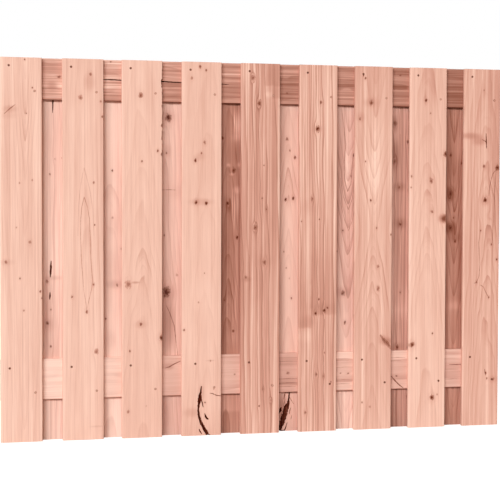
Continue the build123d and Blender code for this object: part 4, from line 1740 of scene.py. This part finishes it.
class FenceAddRails(bpy.types.Operator):
    """Add the two rails that lie between the layers"""

    bl_idname = "fence.add_rails"
    bl_label = "Rails"

    def execute(self, context):
        radius = context.scene.fence_wood.edge_radius / MILLI
        add_timber("top_rail", TOP_RAIL, False, [], False, radius, TOP_RAIL_SEED)
        add_timber("bottom_rail", BOTTOM_RAIL, False, [], False, radius, BOTTOM_RAIL_SEED)
        return {"FINISHED"}


class FenceAddScrews(bpy.types.Operator):
    """Add the countersunk screws of both layers"""

    bl_idname = "fence.add_screws"
    bl_label = "Screws"

    def execute(self, context):
        settings = context.scene.fence_screws
        material = screw_material(settings)
        for layer, count, turn in (("front", len(FRONT_BOARDS), 1), ("rear", len(REAR_BOARDS), -1)):
            places = []
            dusts = []
            for number in range(1, count + 1):
                low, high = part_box(f"{layer}_board_{number}")
                face = low[1] + settings.sink if turn > 0 else high[1] - settings.sink
                for across, height in screw_places(number if turn > 0 else 0):
                    places.append((low[0] + across * MILLI, face, low[2] + height * MILLI))
                    dusts.append(screw_dust(number, height))
            name = f"{layer}_screws_set"
            mesh = screws_mesh(name, settings, places, dusts, turn, SCREW_SEED + turn)
            add_piece(name, mesh, [f"{layer}_screws"], material)
        return {"FINISHED"}


def add_object(context, name, data):
    """Links a new object into the scene."""
    made = bpy.data.objects.new(name, data)
    context.collection.objects.link(made)
    return made


def add_floor(context, settings):
    """A wide pale floor, which looks white to the camera."""
    corners = [(x * FLOOR_REACH, y * FLOOR_REACH, 0.0) for x, y in ((-1, -1), (1, -1), (1, 1), (-1, 1))]
    mesh = bpy.data.meshes.new("floor")
    mesh.from_pydata(corners, [], [(0, 1, 2, 3)])
    material, tree, shader = new_material("pale_floor")
    rays = tree.nodes.new("ShaderNodeLightPath")
    feed_node(tree, shader, {
        "Base Color": (*settings.floor, 1.0),
        "Roughness": FLOOR_ROUGHNESS,
        "Specular IOR Level": FLOOR_SPECULAR,
        "Emission Color": WHITE,
        "Emission Strength": calc(tree, "MULTIPLY", rays.outputs["Is Camera Ray"], settings.floor_glow),
    })
    mesh.materials.append(material)
    add_object(context, "floor", mesh)


def add_sky(context, settings):
    """Soft light from all round, which looks white to the camera."""
    world = bpy.data.worlds.new("studio")
    world.use_nodes = True
    tree = world.node_tree
    soft = tree.nodes["Background"]
    feed_node(tree, soft, {"Color": (*settings.sky_colour, 1.0), "Strength": settings.sky})
    seen = tree.nodes.new("ShaderNodeBackground")
    feed_node(tree, seen, {"Color": WHITE, "Strength": 1.0})
    rays = tree.nodes.new("ShaderNodeLightPath")
    mixed = tree.nodes.new("ShaderNodeMixShader")
    for socket, value in zip(mixed.inputs, (rays.outputs["Is Camera Ray"], soft.outputs[0], seen.outputs[0])):
        feed(tree, socket, value)
    feed(tree, tree.nodes["World Output"].inputs["Surface"], mixed.outputs[0])
    context.scene.world = world


def add_lamps(context, settings):
    """One soft light from behind and a row of them from the left."""
    lamps = [("back", settings.back, settings.back_rise, settings.back_side)]
    for index in range(settings.key_count):
        share = index / max(settings.key_count - 1, 1)
        side = settings.key_near + (settings.key_far - settings.key_near) * share
        lamps.append((f"key_{index + 1}", settings.key / settings.key_count, settings.key_rise, side))
    for name, strength, rise, side in lamps:
        light = bpy.data.lights.new(name, "SUN")
        light.color = settings.lamp_colour
        light.energy = strength
        light.angle = settings.softness
        add_object(context, name, light).rotation_euler = (pi / 2 - rise, 0.0, -side)


def add_camera(context, settings):
    """The camera at the photo's place."""
    lens = bpy.data.cameras.new("camera")
    lens.sensor_width = SENSOR_WIDTH
    lens.lens = settings.lens
    camera = add_object(context, "camera", lens)
    camera.location = settings.camera_place
    camera.rotation_euler = settings.camera_turn
    context.scene.camera = camera
    context.scene.view_settings.view_transform = "Standard"


class FenceAddStage(bpy.types.Operator):
    """Add the pale floor, the soft light and the camera"""

    bl_idname = "fence.add_stage"
    bl_label = "Stage"

    def execute(self, context):
        settings = context.scene.fence_stage
        add_floor(context, settings)
        add_sky(context, settings)
        add_lamps(context, settings)
        add_camera(context, settings)
        return {"FINISHED"}


STEPS = (
    FencePrepareWood, FenceAddFrontBoards, FenceAddRearBoards, FenceAddRails, FenceAddScrews, FenceAddStage,
)


class FencePanelSidebar(bpy.types.Panel):
    """The steps that dress the fence panel, with their settings"""

    bl_idname = "VIEW3D_PT_fence_panel"
    bl_label = "Fence panel"
    bl_space_type = "VIEW_3D"
    bl_region_type = "UI"
    bl_category = "Fence panel"

    def draw(self, context):
        for step in STEPS:
            self.layout.operator(step.bl_idname)
        for settings in (context.scene.fence_wood, context.scene.fence_screws, context.scene.fence_stage):
            box = self.layout.box()
            for name in settings.__annotations__:
                box.prop(settings, name)


SETTINGS = (
    ("fence_wood", FenceWoodSettings),
    ("fence_screws", FenceScrewSettings),
    ("fence_stage", FenceStageSettings),
)


def register():
    for name, settings in SETTINGS:
        bpy.utils.register_class(settings)
        setattr(bpy.types.Scene, name, PointerProperty(type=settings))
    for step in STEPS:
        bpy.utils.register_class(step)
    bpy.utils.register_class(FencePanelSidebar)


def unregister():
    bpy.utils.unregister_class(FencePanelSidebar)
    for step in reversed(STEPS):
        bpy.utils.unregister_class(step)
    for name, settings in reversed(SETTINGS):
        delattr(bpy.types.Scene, name)
        bpy.utils.unregister_class(settings)


def main():
    """Dresses the panel."""
    register()
    bpy.ops.fence.prepare_wood()
    bpy.ops.fence.add_front_boards()
    bpy.ops.fence.add_rear_boards()
    bpy.ops.fence.add_rails()
    bpy.ops.fence.add_screws()
    bpy.ops.fence.add_stage()


if __name__ == "__main__":
    main()
